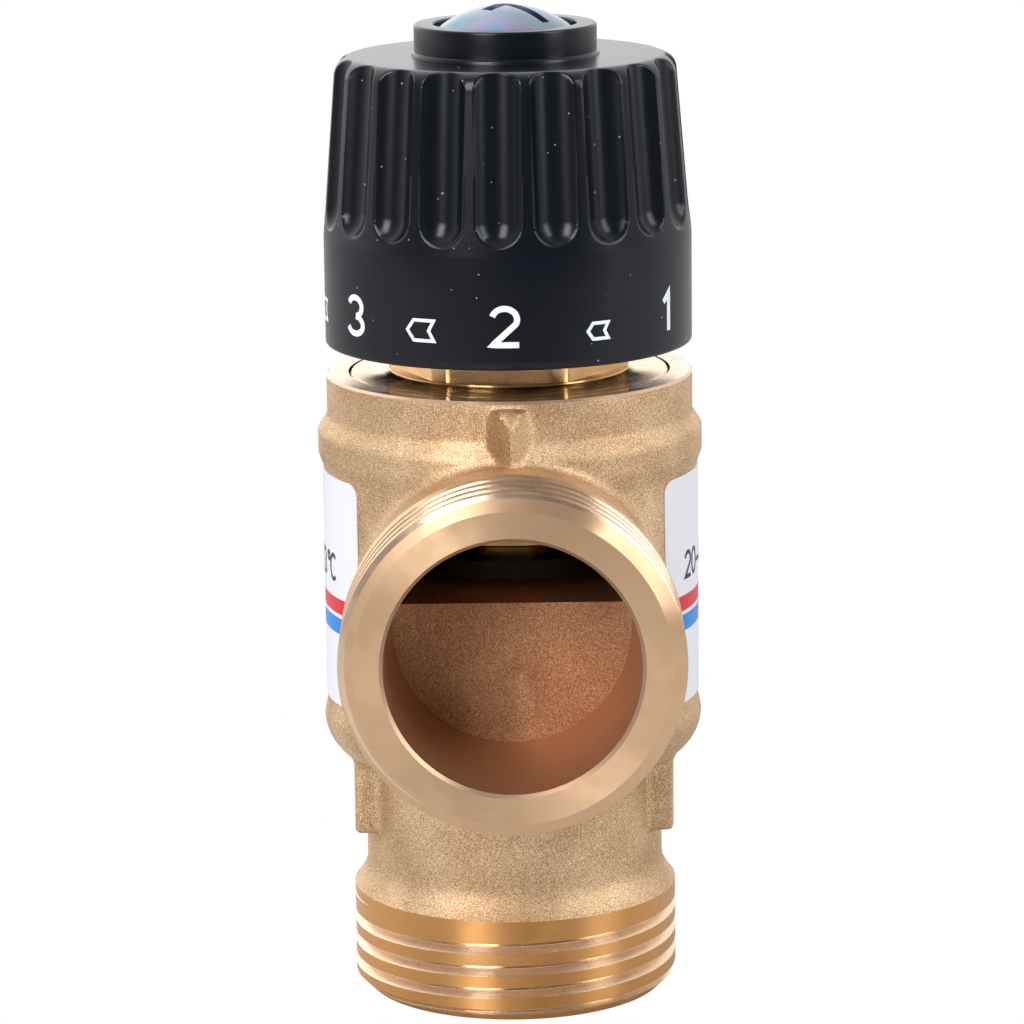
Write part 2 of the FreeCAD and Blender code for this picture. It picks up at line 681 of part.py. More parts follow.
def wax_element():
    clip_z = spider_top_z + face_gap
    clip_groove_r = element_stem_r - clip_depth
    corner = bulb_cup * (1 - math.sqrt(0.5))
    shape = turned([
        (0, bulb_end_z), (bulb_r - bulb_cup, bulb_end_z),
        ((bulb_r - corner, bulb_end_z + corner), (bulb_r, bulb_end_z + bulb_cup)),
        (bulb_r, flange_low_z), (element_flange_r, flange_low_z), (element_flange_r, spider_low_z),
        (element_stem_r, spider_low_z), (element_stem_r, clip_z), (clip_groove_r, clip_z),
        (clip_groove_r, clip_z + clip_thickness + face_gap),
        (element_stem_r, clip_z + clip_thickness + face_gap), (element_stem_r, element_top_z),
        (0, element_top_z)])
    return shape.cut(rod(piston_r + running, piston_low_z - piston_room, element_top_z))


def element_clip():
    low_z = spider_top_z + face_gap
    return split_ring(element_stem_r + 2 * clip_depth, element_stem_r - clip_depth + running, low_z,
                      low_z + clip_thickness, element_clip_gap)


def return_spring():
    return coil(return_coil_r, return_wire_r, guide_top_z, flange_low_z, return_turns)


def element_guide():
    rim = tube(port_bore_r - running, port_bore_r - guide_rim, guide_low_z, guide_top_z)
    hub = rod(guide_hub_r, guide_low_z, guide_top_z)
    arm = slab(0, port_bore_r - guide_rim / 2, -guide_arm_width / 2, guide_arm_width / 2,
               guide_low_z, guide_top_z)
    arms = [about_z(arm, 90 + 360.0 * index / guide_arms) for index in range(guide_arms)]
    bore = rod(bulb_r + bulb_gap, guide_low_z, guide_top_z)
    return rim.multiFuse([hub] + arms).cut(bore)


def guide_clip():
    low_z = guide_low_z - guide_clip_thickness - face_gap
    return split_ring(port_bore_r + guide_clip_depth - running, port_bore_r - guide_clip_width, low_z,
                      low_z + guide_clip_thickness, guide_clip_gap)


# ---------------------------------------------------------------- labels
def label(side):
    """Sticker with round corners, bent round the body on its +X or -X side."""
    low_z = port_height + label_low
    high_z = port_height + label_high
    centre_angle = 0 if side > 0 else 180
    inner_r = body_r + label_glue
    half_angle = math.degrees(math.acos((neck_r + label_margin) / inner_r))
    sheet = sector(inner_r, inner_r + label_thickness, centre_angle, half_angle, low_z, high_z)
    half_width = inner_r * math.sin(math.radians(half_angle))
    outline = slab(0, 2 * inner_r, -half_width, half_width, low_z, high_z)
    long_edges = [edge for edge in outline.Edges if edge.BoundBox.XLength > inner_r]
    window = outline.makeFillet(label_corner, long_edges)
    return sheet.common(about_z(window, centre_angle))


# ---------------------------------------------------------------- pieces
pieces = {
    "valve_body": valve_body(),
    "bonnet": bonnet(),
    "bonnet_o_ring": bonnet_o_ring(),
    "stop_ring": stop_ring(),
    "stop_ring_clip": stop_ring_clip(),
    "thrust_washer": thrust_washer(),
    "element_guide": element_guide(),
    "guide_clip": guide_clip(),
    "return_spring": return_spring(),
    "label_left": label(-1),
    "label_right": label(1),
    "knob": knob(),
    "knob_screw": knob_screw(),
    "screw_washer": screw_washer(),
    "spindle": spindle(),
    "spindle_o_ring_lower": spindle_o_ring(0),
    "spindle_o_ring_upper": spindle_o_ring(1),
    "spindle_clip": spindle_clip(),
    "adjusting_nut": adjusting_nut(),
    "overtravel_spring": overtravel_spring(),
    "cup_clip": cup_clip(),
    "pressure_cup": pressure_cup(),
    "element_piston": element_piston(),
    "mixing_sleeve": mixing_sleeve(),
    "sleeve_o_ring": sleeve_o_ring(),
    "wax_element": wax_element(),
    "element_clip": element_clip(),
}

os.makedirs("parts", exist_ok=True)
for node, shape in pieces.items():
    if not shape.isValid() or len(shape.Solids) != 1:
        print("CHECK", node, "valid:", shape.isValid(), "solids:", len(shape.Solids))
    solid = shape.Solids[0] if len(shape.Solids) == 1 else shape
    solid.exportStep("parts/" + node + ".step")
    print(f"{node}: {solid.Volume / 1000:.3f} cm3")
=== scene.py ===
import json
import math

import bmesh
import bpy
import numpy as np
import openvdb
from mathutils import Matrix, Vector

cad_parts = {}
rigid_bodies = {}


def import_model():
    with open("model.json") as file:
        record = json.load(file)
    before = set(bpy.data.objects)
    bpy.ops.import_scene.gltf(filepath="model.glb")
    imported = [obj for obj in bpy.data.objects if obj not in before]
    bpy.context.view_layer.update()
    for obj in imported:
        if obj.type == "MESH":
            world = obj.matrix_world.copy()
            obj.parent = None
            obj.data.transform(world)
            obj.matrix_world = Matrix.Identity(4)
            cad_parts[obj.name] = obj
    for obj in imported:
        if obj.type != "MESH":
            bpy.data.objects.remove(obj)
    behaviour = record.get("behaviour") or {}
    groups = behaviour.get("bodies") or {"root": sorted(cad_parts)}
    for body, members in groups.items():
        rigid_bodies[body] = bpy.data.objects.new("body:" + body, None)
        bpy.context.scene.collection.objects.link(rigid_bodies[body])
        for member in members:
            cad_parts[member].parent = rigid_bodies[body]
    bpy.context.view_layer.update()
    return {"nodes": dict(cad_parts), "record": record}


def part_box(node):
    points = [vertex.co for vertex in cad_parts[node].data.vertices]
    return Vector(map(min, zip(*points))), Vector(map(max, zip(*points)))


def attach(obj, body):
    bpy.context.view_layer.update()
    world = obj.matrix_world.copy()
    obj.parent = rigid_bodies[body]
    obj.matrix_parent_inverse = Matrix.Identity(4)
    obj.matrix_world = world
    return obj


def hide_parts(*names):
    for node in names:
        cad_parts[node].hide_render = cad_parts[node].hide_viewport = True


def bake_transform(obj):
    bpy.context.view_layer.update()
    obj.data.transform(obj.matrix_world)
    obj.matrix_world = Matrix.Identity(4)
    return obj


mm = 0.001
tau = 2 * math.pi
axisRadius = 0.001      # mm, stands for the axis in a lathe profile, so that no ring shrinks to a point
beyond = 1.0            # mm, how far a cutter reaches past the surface that it cuts

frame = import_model()
print("frame loaded:", len(frame["nodes"]), "nodes")


# sRGB hex text to linear RGBA: a channel below 0.04045 is divided by 12.92, the others take the 2.4 power.
def linearColour(hexText):
    channels = [int(hexText[start:start + 2], 16) / 255 for start in (1, 3, 5)]
    return [c / 12.92 if c <= 0.04045 else ((c + 0.055) / 1.055) ** 2.4 for c in channels] + [1.0]


# Adds one shader node, sets its properties, then fills each input with a value or a link.
def addNode(tree, kind, inputs=None, **settings):
    node = tree.nodes.new("ShaderNode" + kind)
    for name, value in settings.items():
        setattr(node, name, value)
    for socket, value in (inputs or {}).items():
        if isinstance(value, bpy.types.NodeSocket):
            tree.links.new(value, node.inputs[socket])
        else:
            node.inputs[socket].default_value = value
    return node


# One number worked out from others.
def maths(tree, operation, *values):
    return addNode(tree, "Math", dict(enumerate(values)), operation=operation).outputs["Value"]


# The same for vectors.
def vectorMaths(tree, operation, *values):
    node = addNode(tree, "VectorMath", dict(enumerate(values)), operation=operation)
    return node.outputs["Value" if operation == "LENGTH" else "Vector"]


def mixColours(tree, factor, first, second):
    return addNode(tree, "Mix", {0: factor, 6: first, 7: second}, data_type="RGBA").outputs[2]


def objectPlace(tree):
    return addNode(tree, "TexCoord").outputs["Object"]


# The emptied node tree of a material or a world.
def emptyTree(owner):
    owner.use_nodes = True
    owner.node_tree.nodes.clear()
    return owner.node_tree


# A Principled material, its tree and its shader. Uniform values sit on the shader's own sockets.
def newMaterial(name, colour, metallic, roughness, **sockets):
    material = bpy.data.materials.new(name)
    tree = emptyTree(material)
    shader = addNode(tree, "BsdfPrincipled", {
        "Base Color": linearColour(colour), "Metallic": metallic, "Roughness": roughness, **sockets})
    addNode(tree, "OutputMaterial", {"Surface": shader.outputs["BSDF"]})
    return material, tree, shader


# Ramp through (position, hex colour) stops.
def colourRamp(tree, factor, stops):
    ramp = addNode(tree, "ValToRGB", {"Fac": factor})
    elements = ramp.color_ramp.elements
    while len(elements) > 1:
        elements.remove(elements[-1])
    elements[0].position, elements[0].color = stops[0][0], linearColour(stops[0][1])
    for position, colour in stops[1:]:
        elements.new(position).color = linearColour(colour)
    return ramp.outputs["Color"]


def newObject(name, data):
    thing = bpy.data.objects.new(name, data)
    bpy.context.scene.collection.objects.link(thing)
    return thing


# Puts points in mm and a list of faces into a new object.
def meshFromFaces(name, points, faces, material):
    mesh = bpy.data.meshes.new(name)
    mesh.from_pydata((points * mm).tolist(), [], faces)
    mesh.update()
    mesh.materials.append(material)
    return newObject(name, mesh)


# Quads of a rows x columns grid, wrapped where asked; index = row * columns + column.
def gridFaces(rows, columns, closedRows, closedColumns):
    rowCount = rows if closedRows else rows - 1
    columnCount = columns if closedColumns else columns - 1
    i, j = np.meshgrid(np.arange(rowCount), np.arange(columnCount), indexing="ij")
    near, far = i * columns, (i + 1) % rows * columns
    nextJ = (j + 1) % columns
    return np.stack([near + j, near + nextJ, far + nextJ, far + j], -1).reshape(-1, 4).tolist()


# One property of a mesh's vertices or faces, as an array with a row for each.
def readRows(items, name, width=3, kind=float):
    values = np.zeros(len(items) * width, kind)
    items.foreach_get(name, values)
    return values.reshape(-1, width)


# Turns a closed mesh's faces outwards when its signed volume is negative.
def outward(piece):
    mesh = piece.data
    mesh.calc_loop_triangles()
    corners = readRows(mesh.vertices, "co")
    a, b, c = (corners[column] for column in readRows(mesh.loop_triangles, "vertices", kind=int).T)
    if np.einsum("ij,ij->i", a, np.cross(b, c)).sum() < 0:
        mesh.flip_normals()
    return piece


# Solid from rings of points: row by row, closed round each ring, with a flat cap on the first and the last
# ring unless the last ring joins the first.
def ringSolid(name, points, rows, columns, material, hollow=False):
    faces = gridFaces(rows, columns, hollow, True)
    if not hollow:
        faces.append(list(range(columns - 1, -1, -1)))
        faces.append([(rows - 1) * columns + j for j in range(columns)])
    return outward(meshFromFaces(name, points.reshape(-1, 3), faces, material))


# Rings about the Z axis: x = r cos a, y = r sin a, z = height, where r may differ at each angle.
def ringPoints(radius, height, angle):
    x, y = radius * np.cos(angle), radius * np.sin(angle)
    return np.stack([x, y, height + 0 * x], -1).reshape(-1, 3)


# Turns points drawn up +Z so that they run along +Y or -Y.
def turnAxis(points, axis):
    x, y, z = points[:, 0], points[:, 1], points[:, 2]
    return np.stack({"z": (x, y, z), "+y": (x, z, -y), "-y": (x, -z, y)}[axis], -1)


# Lathe: (radius, height) points in mm carried round an axis. A solid's profile is joined to it at both ends.
def turnedSolid(name, profile, material, axis="z", centre=(0, 0, 0), segments=256, hollow=False):
    ring = list(profile)
    if not hollow and ring[0][0] > axisRadius:
        ring.insert(0, (axisRadius, ring[0][1]))
    if not hollow and ring[-1][0] > axisRadius:
        ring.append((axisRadius, ring[-1][1]))
    ring = np.array(ring, float)
    points = ringPoints(ring[:, :1], ring[:, 1:], np.arange(segments) * tau / segments)
    points = turnAxis(points, axis) + np.array(centre)
    return ringSolid(name, points, len(ring), segments, material, hollow)


# Block between two heights, turned about the Z axis by an angle in degrees. Its foot and its head are
# rectangles (x0, y0, x1, y1) in mm.
def blockSolid(name, foot, head, lowZ, highZ, turn, material):
    corners = np.array([(x, y, z) for z, (x0, y0, x1, y1) in ((lowZ, foot), (highZ, head))
                        for y in (y0, y1) for x in (x0, x1)])
    x, y, z = corners.T
    a = math.radians(turn)
    turned = np.stack([x * math.cos(a) - y * math.sin(a), x * math.sin(a) + y * math.cos(a), z], -1)
    faces = [[0, 2, 3, 1], [4, 5, 7, 6], [0, 1, 5, 4], [2, 6, 7, 3], [0, 4, 6, 2], [1, 3, 7, 5]]
    return outward(meshFromFaces(name, turned, faces, material))


# Joins or cuts closed solids with the manifold solver; what a cutter leaves keeps the cutter's material.
def combine(piece, others, operation):
    for other in others:
        modifier = piece.modifiers.new("combine", "BOOLEAN")
        modifier.operation = operation
        modifier.solver = "MANIFOLD"
        modifier.object = other
        modifier.material_mode = "TRANSFER"
        depsgraph = bpy.context.evaluated_depsgraph_get()
        result = bpy.data.meshes.new_from_object(piece.evaluated_get(depsgraph))
        piece.modifiers.clear()
        piece.data = result
        bpy.data.objects.remove(other)
    return piece


# Smooth shading with sharp edges where faces meet at more than an angle.
def smoothShade(piece, degrees):
    piece.data.shade_smooth()
    piece.data.set_sharp_from_angle(angle=math.radians(degrees))


# Says what the piece moves with and hides the solids that it stands for.
def finishPiece(piece, body, replaced=()):
    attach(piece, body)
    if replaced:
        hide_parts(*replaced)


# Corners of a solid in mm.
def nodeBox(node):
    low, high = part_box(node)
    return np.array(low) / mm, np.array(high) / mm


# Points of an arc between two angles in degrees; a pair of radii makes it an ellipse's.
def arcPoints(centre, radius, start, end, count=7):
    across, up = radius if isinstance(radius, tuple) else (radius, radius)
    angle = np.radians(np.linspace(start, end, count))
    return [(centre[0] + across * math.cos(a), centre[1] + up * math.sin(a)) for a in angle]


# Rounded lesser of two radii: where they are within the rounding's size, the result dips below both.
def softLesser(a, b, size):
    overlap = np.maximum(size - np.abs(a - b), 0) / size
    return np.minimum(a, b) - overlap ** 2 * size * 0.25


# Noise on Object coordinates whose grain is a real size in mm.
def grainNoise(tree, grain, detail=2.0, roughness=0.5):
    return addNode(tree, "TexNoise", {
        "Vector": objectPlace(tree), "Scale": 1 / (grain * mm), "Detail": detail,
        "Roughness": roughness}).outputs["Fac"]


# Distance to the nearest of scattered points that stand about a cell's size in mm apart, in cells.
def cellDistance(tree, cell):
    return addNode(tree, "TexVoronoi", {
        "Vector": objectPlace(tree), "Scale": 1 / (cell * mm)}).outputs["Distance"]


# Bump of a depth in mm.
def addBump(tree, shader, height, depth, strength=1.0):
    bump = addNode(tree, "Bump", {"Height": height, "Distance": depth * mm, "Strength": strength})
    tree.links.new(bump.outputs["Normal"], shader.inputs["Normal"])


# Turning lines: noise in (distance along the axis + distance from the axis), so that it runs round
# cylinders as lines and on end faces as rings. Also gives the lines' direction, axis x place.
def turningLines(tree, axis, spacing):
    look = {"z": {"along": (0, 0, 1), "across": (1, 1, 0), "height": 0},
            "y": {"along": (0, 1, 0), "across": (1, 0, 1), "height": portAxisHeight}}[axis]
    place = vectorMaths(tree, "ADD", objectPlace(tree), (0, 0, -look["height"] * mm))
    split = addNode(tree, "SeparateXYZ", {"Vector": place})
    radius = vectorMaths(tree, "LENGTH", vectorMaths(tree, "MULTIPLY", place, look["across"]))
    total = maths(tree, "ADD", split.outputs[axis.upper()], radius)
    scaled = maths(tree, "MULTIPLY", total, 1 / (spacing * mm))
    lines = addNode(tree, "TexNoise", {"W": scaled, "Scale": 1.0, "Detail": 2.0},
                    noise_dimensions="1D").outputs["Fac"]
    return lines, vectorMaths(tree, "CROSS_PRODUCT", look["along"], place)


# The casting's skins: blasted outside, darker in the pockets, and painted shade on the rib's left flank.
# Sizes are in mm.
castLooks = {
    "cast": {"name": "cast brass, shot blasted",
        "dark": "#A37C58", "colour": "#D0AE88", "light": "#F0DAB6",
        "grain": 0.13, "pitDepth": 0.03, "roughness": 0.54},
    "castInside": {"name": "cast brass inside",
        "dark": "#97684A", "colour": "#B88868", "light": "#DDB48C",
        "grain": 0.12, "pitDepth": 0.028, "roughness": 0.58},
    # painted shade: a darker copy of the blasted brass for the rib's left flank
    "castRibFlankShade": {"name": "cast brass, painted shade on the rib's flank",
        "dark": "#916B48", "colour": "#B98F69", "light": "#DCB88E",
        "grain": 0.13, "pitDepth": 0.03, "roughness": 0.56},
}


# Shot-blasted cast brass: matte gold with a fine sparkle where single pits face the light.
def castBrass(look):
    material, tree, shader = newMaterial(look["name"], look["colour"], 1.0, look["roughness"])
    fine = grainNoise(tree, look["grain"], 3.0, 0.62)
    blotch = grainNoise(tree, 6.0, 3.0)
    mixed = maths(tree, "MULTIPLY_ADD", blotch, 0.2, maths(tree, "MULTIPLY", fine, 0.8))
    colour = colourRamp(tree, mixed, [(0.38, look["dark"]), (0.5, look["colour"]), (0.62, look["light"])])
    tree.links.new(colour, shader.inputs["Base Color"])
    height = maths(tree, "MULTIPLY_ADD", cellDistance(tree, look["grain"]), 0.6, fine)
    addBump(tree, shader, height, look["pitDepth"], 0.8)
    return material


# Turned brass: pale gold, with fine lines left by the tool that draw each reflection out across them.
def turnedBrass(name, axis, colour="#DEB892", roughness=0.34, spacing=0.16, depth=0.006):
    material, tree, shader = newMaterial(name, colour, 1.0, roughness,
                                         **{"Anisotropic": 0.85, "Anisotropic Rotation": 0.25})
    lines, tangent = turningLines(tree, axis, spacing)
    tree.links.new(tangent, shader.inputs["Tangent"])
    stain = grainNoise(tree, 3.0, 3.0)
    dull = addNode(tree, "MapRange", {
        "Value": stain, "From Min": 0.35, "From Max": 0.7, "To Min": roughness - 0.05,
        "To Max": roughness + 0.1})
    tree.links.new(dull.outputs["Result"], shader.inputs["Roughness"])
    addBump(tree, shader, lines, depth)
    return material


# Satin black nylon, moulded: near black with a cool tint, crisp small highlights and a few pale specks of
# dust, one to a cell in mm where the surface passes its middle. A speck's size in cells follows a noise.
def blackNylon():
    ground, dust, cell, spread, least = "#060B15", "#8A9098", 1.6, 0.2, -0.052
    material, tree, shader = newMaterial("black nylon, satin moulded", ground, 0.0, 0.25,
                                         **{"Specular IOR Level": 0.34})
    cells = cellDistance(tree, cell)
    size = maths(tree, "MULTIPLY_ADD", grainNoise(tree, 3.0), spread, least)
    speck = maths(tree, "LESS_THAN", cells, size)
    dusty = mixColours(tree, speck, linearColour(ground), linearColour(dust))
    tree.links.new(dusty, shader.inputs["Base Color"])
    addBump(tree, shader, grainNoise(tree, 0.3), 0.006, 0.7)
    return material


# Blue-passivated zinc on steel: thin-film tint that drifts from teal to lilac over the surface.
def blueZinc():
    material, tree, shader = newMaterial("blue passivated zinc on steel", "#9FB4C4", 1.0, 0.22)
    tint = colourRamp(tree, grainNoise(tree, 4.5), [
        (0.3, "#5F8792"), (0.45, "#7C8E99"), (0.58, "#8E88A8"), (0.7, "#6B90AC")])
    tree.links.new(tint, shader.inputs["Base Color"])
    addBump(tree, shader, grainNoise(tree, 0.25, 3.0), 0.006, 0.6)
    return material


# Plain drilled, moulded, drawn, printed or rubber surface with a fine grain in mm.
def plainFinish(name, colour, metallic, roughness, grain=0.3, depth=0.004, strength=0.6):
    material, tree, shader = newMaterial(name, colour, metallic, roughness)
    addBump(tree, shader, grainNoise(tree, grain), depth, strength)
    return material


mounts = {mount["name"]: np.array(mount["pos_m"]) / mm for mount in frame["record"]["mounts"]}
portAxisHeight = mounts["hot_port_face"][2]     # mm
portReach = mounts["hot_port_face"][1]
bodyTop = nodeBox("valve_body")[1][2]
knobLow, knobHigh = nodeBox("knob")

materials = {key: castBrass(look) for key, look in castLooks.items()}
materials.update({
    # The bottom port's turned brass is a darker, more orange copy of the side ports': painted reflection of
    # shaded surroundings on its lands.
    "turnedZPaintedShade": turnedBrass("turned brass, upright axis, darker for painted reflection", "z", "#D49D62", 0.36, 0.16, 0.01),
    "turnedY": turnedBrass("turned brass, port axis", "y"),
    "turnedTop": turnedBrass("turned brass, top face", "z", "#D6B497", 0.17, 0.16, 0.004),
    # The grooves' turned brass is a paler copy: painted reflection of the bright room above on their flanks.
    "thread": turnedBrass("threaded brass, paler for painted reflection", "z", "#E8CBAE", 0.25, 0.2, 0.004),
    "bored": plainFinish("brass, drilled water way", "#C9A68B", 1.0, 0.4, 0.5, 0.01),
    "nylon": blackNylon(),
    "ink": plainFinish("white printing ink", "#EAF0F7", 0.0, 0.5, 0.15, 0.003, 0.5),
    "labelInk": plainFinish("black printing ink", "#14161C", 0.0, 0.45),
    "zinc": blueZinc(),
    # The bonnet's turned brass is a lighter copy: painted reflection that brightens the hexagon's flats.
    "bonnetBrassPaintedReflection": turnedBrass("turned brass, bonnet, lighter for painted reflection", "z", "#E6C292", 0.2, 0.14, 0.004),
    "rubber": plainFinish("nitrile rubber", "#1B1B1C", 0.0, 0.6),
    "springSteel": plainFinish("drawn spring steel", "#9A9CA0", 1.0, 0.3, 0.2, 0.002),
    "acetal": plainFinish("white acetal", "#E8E6E0", 0.0, 0.4),
    "darkPlastic": plainFinish("dark glass-filled plastic", "#232326", 0.0, 0.5),
    "copper": plainFinish("drawn copper alloy", "#C58A5E", 1.0, 0.3, 0.2, 0.003),
})
print("materials made:", len(materials))


# The valve body is a casting worked out as a smooth field, which is then turned, bored and threaded. In mm.
bodyLook = {
    "voxel": 0.45,              # cell of the field before its points are moved onto the surface
    "barrelRadius": 19.0,
    "bowlRadius": 19.4,
    "bowlDrop": 14.0,           # widest part of the swell below the side port axis
    "bowlRound": 4.7,
    "bowlShoulder": 1.9,        # from there up to where the barrel runs straight
    "bandRadius": 19.55,
    "bandRise": 14.5,           # middle of the band above the side port axis
    "bandHalf": 1.2,
    "bandSlope": 1.5,
    "collarRadius": 18.6,
    "neckRadius": 15.25,
    "stockRadius": 17.3,        # casting left on the ports for turning
    "threadRadius": 16.62,
    "threadLength": 10.7,
    "threadChamfer": 1.4,
    "threadRelief": 1.6,        # lathe's run past the thread
    "flareLength": 2.8,
    "flarePower": 1.75,         # how late the flare from neck to thread opens
    "padAcross": 32.6,
    "padHalfWidth": 6.8,
    "padHeight": 6.9,
    "padRound": 0.5,
    "neckFillet": 0.9,
    "padFillet": 0.5,
    "ribReach": 21.2,
    "ribHalfWidth": 2.65,
    "ribTopHalfWidth": 2.15,
    "ribTopDrop": 0.75,
    "ribTaper": 2.4,
    "ribBlunt": 0.12,           # taken off the ridge
    "ribFacet": 1.7,
    "ribFacetShare": 0.66,
    "ribFillet": 0.35,
    "pitch": 2.309,             # G1 pipe thread
    "grooveWidth": 1.0,         # mouth of the groove between two lands
    "grooveDepth": 0.8,
    "grooveFlank": 27.5,        # degrees
    "grooveRunOut": 0.35,       # turns by which the groove stops short of the thread's length
    "grooveFade": 0.3,          # turns over which it rises out of the land
    "boreRadius": 12.3,
    "boreChamfer": 0.35,
    "straightBore": 11.0,
    "pocketRadius": 11.73,
    "pocketDepth": 18.0,
    "galleryRadius": 16.0,
    "galleryRise": 11.6,
    "webAbove": 2.3,
    "webBelow": 2.4,
    "seatDrop": 12.4,
    "webBore": 13.2,
    "threadBore": 15.2,
    "flangeBore": 16.35,
    "flangeDepth": 2.0,
    "topChamfer": 0.25,
    "clear": 30.0,              # radius past everything that a lathe takes off
    "ribFlankShadeZone": {"halfWidth": 3.2, "front": 18.2, "low": 9.0, "high": 0.3},    # round the rib's top, where the left flank gets painted shade
}
cold, hot, mixed = (0, -portReach, portAxisHeight), (0, portReach, portAxisHeight), (0, 0, 0)


# Signed distance to a closed polygon of (radius, height) points: the least distance to its edges, negative
# inside by the even-odd rule.
def polygonField(radius, height, outline):
    corners = np.array(outline, np.float32)
    distance = np.full(radius.shape, 1e9, np.float32)
    inside = np.zeros(radius.shape, bool)
    for (ax, ay), (bx, by) in zip(corners, np.roll(corners, -1, axis=0)):
        ex, ey = bx - ax, by - ay
        px, py = radius - ax, height - ay
        share = np.clip((px * ex + py * ey) / (ex * ex + ey * ey), 0, 1)
        distance = np.minimum(distance, (px - share * ex) ** 2 + (py - share * ey) ** 2)
        if abs(ey) > 1e-9:
            crosses = ((ay <= height) & (by > height)) | ((by <= height) & (ay > height))
            inside ^= crosses & (px - ex / ey * py < 0)
    distance = np.sqrt(distance)
    return np.where(inside, -distance, distance)


# Union of two fields with a round fillet: circle of the fillet radius in the corner between both surfaces.
def filletUnion(a, b, fillet):
    hollow = np.sqrt(np.maximum(fillet - a, 0) ** 2 + np.maximum(fillet - b, 0) ** 2)
    return np.maximum(fillet, np.minimum(a, b)) - hollow


# Outline of one port's casting: neck, hollow flare whose radius grows with a power of the way along, then
# stock for turning past the port's face.
def portStock(look, reach):
    start = reach - look["threadLength"]
    neck, stock, power = look["neckRadius"], look["stockRadius"], look["flarePower"]
    growth = look["threadRadius"] - neck
    flare = [(neck + growth * s ** power, start - look["flareLength"] * (1 - s))
             for s in np.linspace(0, 1, 7)]
    rise = (stock - look["threadRadius"]) / (power * growth / look["flareLength"])
    end = reach + beyond
    return [(-1, 0), (neck, 0)] + flare + [(stock, start + rise), (stock, end), (-1, end)]


# Outline of the barrel from the swell's foot to past its top.
def barrelOutline(look, bowl):
    band, barrel, bandRadius = portAxisHeight + look["bandRise"], look["barrelRadius"], look["bandRadius"]
    half, slope, collar = look["bandHalf"], look["bandSlope"], look["collarRadius"]
    swell = arcPoints((look["bowlRadius"] - look["bowlRound"], bowl), look["bowlRound"], -90, 0, 9)
    return [(-1, bowl - look["bowlRound"])] + swell + [
        (barrel, bowl + look["bowlShoulder"]), (barrel, band - half - slope), (bandRadius, band - half),
        (bandRadius, band + half), (collar, band + half + slope), (collar, bodyTop + 1), (-1, bodyTop + 1)]


# Wrench pads: distance to a box with round edges.
def padField(look, x, y, z, bowl):
    low, soft = bowl - look["bowlRound"] - look["padHeight"], look["padRound"]
    px = np.abs(x) - look["padAcross"] / 2 + soft
    py = np.abs(y) - look["padHalfWidth"] + soft
    pz = np.abs(z - (bowl + low) / 2) - (bowl - low) / 2 + soft
    outside = np.sqrt(np.maximum(px, 0) ** 2 + np.maximum(py, 0) ** 2 + np.maximum(pz, 0) ** 2)
    return outside + np.minimum(np.maximum(np.maximum(px, py), pz), 0) - soft


# Pointer rib: two flanks that meet in a ridge and narrow upwards, with a small facet at the top's front.
def ribField(look, x, y, z):
    top, reach, facet = bodyTop - look["ribTopDrop"], look["ribReach"], look["ribFacet"]
    foot = look["collarRadius"] - 0.5
    narrow = np.clip((z - (top - look["ribTaper"])) / look["ribTaper"], 0, 1)
    half = look["ribHalfWidth"] + (look["ribTopHalfWidth"] - look["ribHalfWidth"]) * narrow
    depth = reach - foot
    flank = ((np.abs(x) - half) * depth + (-y - foot) * half) / np.sqrt(depth ** 2 + half ** 2)
    ridge = -y - reach + look["ribBlunt"]
    facetDepth = look["ribFacetShare"] * (reach - look["collarRadius"])
    front = ((-y - reach) * facet + (z - top + facet) * facetDepth) / math.hypot(facetDepth, facet)
    return np.maximum.reduce([flank, ridge, front, z - top, portAxisHeight - z, y])


# The casting's field in mm: barrel, three ports, wrench pads and pointer rib, joined with fillets.
def castingField(x, y, z):
    look = bodyLook
    middle, fillet = portAxisHeight, look["neckFillet"]
    bowl = middle - look["bowlDrop"]
    radius = np.sqrt(x * x + y * y)
    field = polygonField(radius, z, barrelOutline(look, bowl))
    sideRadius = np.sqrt(x * x + (z - middle) ** 2)
    field = filletUnion(field, polygonField(sideRadius, np.abs(y), portStock(look, portReach)), fillet)
    field = filletUnion(field, polygonField(radius, middle - z, portStock(look, middle)), fillet)
    field = filletUnion(field, padField(look, x, y, z, bowl), look["padFillet"])
    return filletUnion(field, ribField(look, x, y, z), look["ribFillet"])


# Casting mesh: the field sampled on a grid, turned into polygons, then each point moved onto the zero
# surface by Newton steps along the field's slope.
def castingMesh(material):
    cell = bodyLook["voxel"]
    halfWidth, margin, reach = 21.5, 2.0, 3.0
    low = np.array([-halfWidth, -(portReach + margin), -margin])
    high = np.array([halfWidth, portReach + margin, bodyTop + margin])
    axes = [np.arange(low[k], high[k], cell, dtype=np.float32) for k in range(3)]
    grid = openvdb.FloatGrid()
    field = castingField(*np.meshgrid(*axes, indexing="ij"))
    grid.copyFromArray(np.clip(field, -reach, reach).astype(np.float32))
    grid.background = reach
    points, triangles, quads = grid.convertToPolygons(0.0, 0.0)
    points = points.astype(np.float64) * cell + low
    step = 0.02
    for _ in range(4):
        value = castingField(*points.T)
        slope = np.stack([castingField(*(points + way).T) - castingField(*(points - way).T)
                          for way in step * np.eye(3)], -1) / (2 * step)
        length = np.maximum((slope ** 2).sum(1), 0.3)
        points = points - np.clip(value / length, -cell, cell)[:, None] * slope
    return outward(meshFromFaces("bodyCasting", points, triangles.tolist() + quads.tolist(), material))


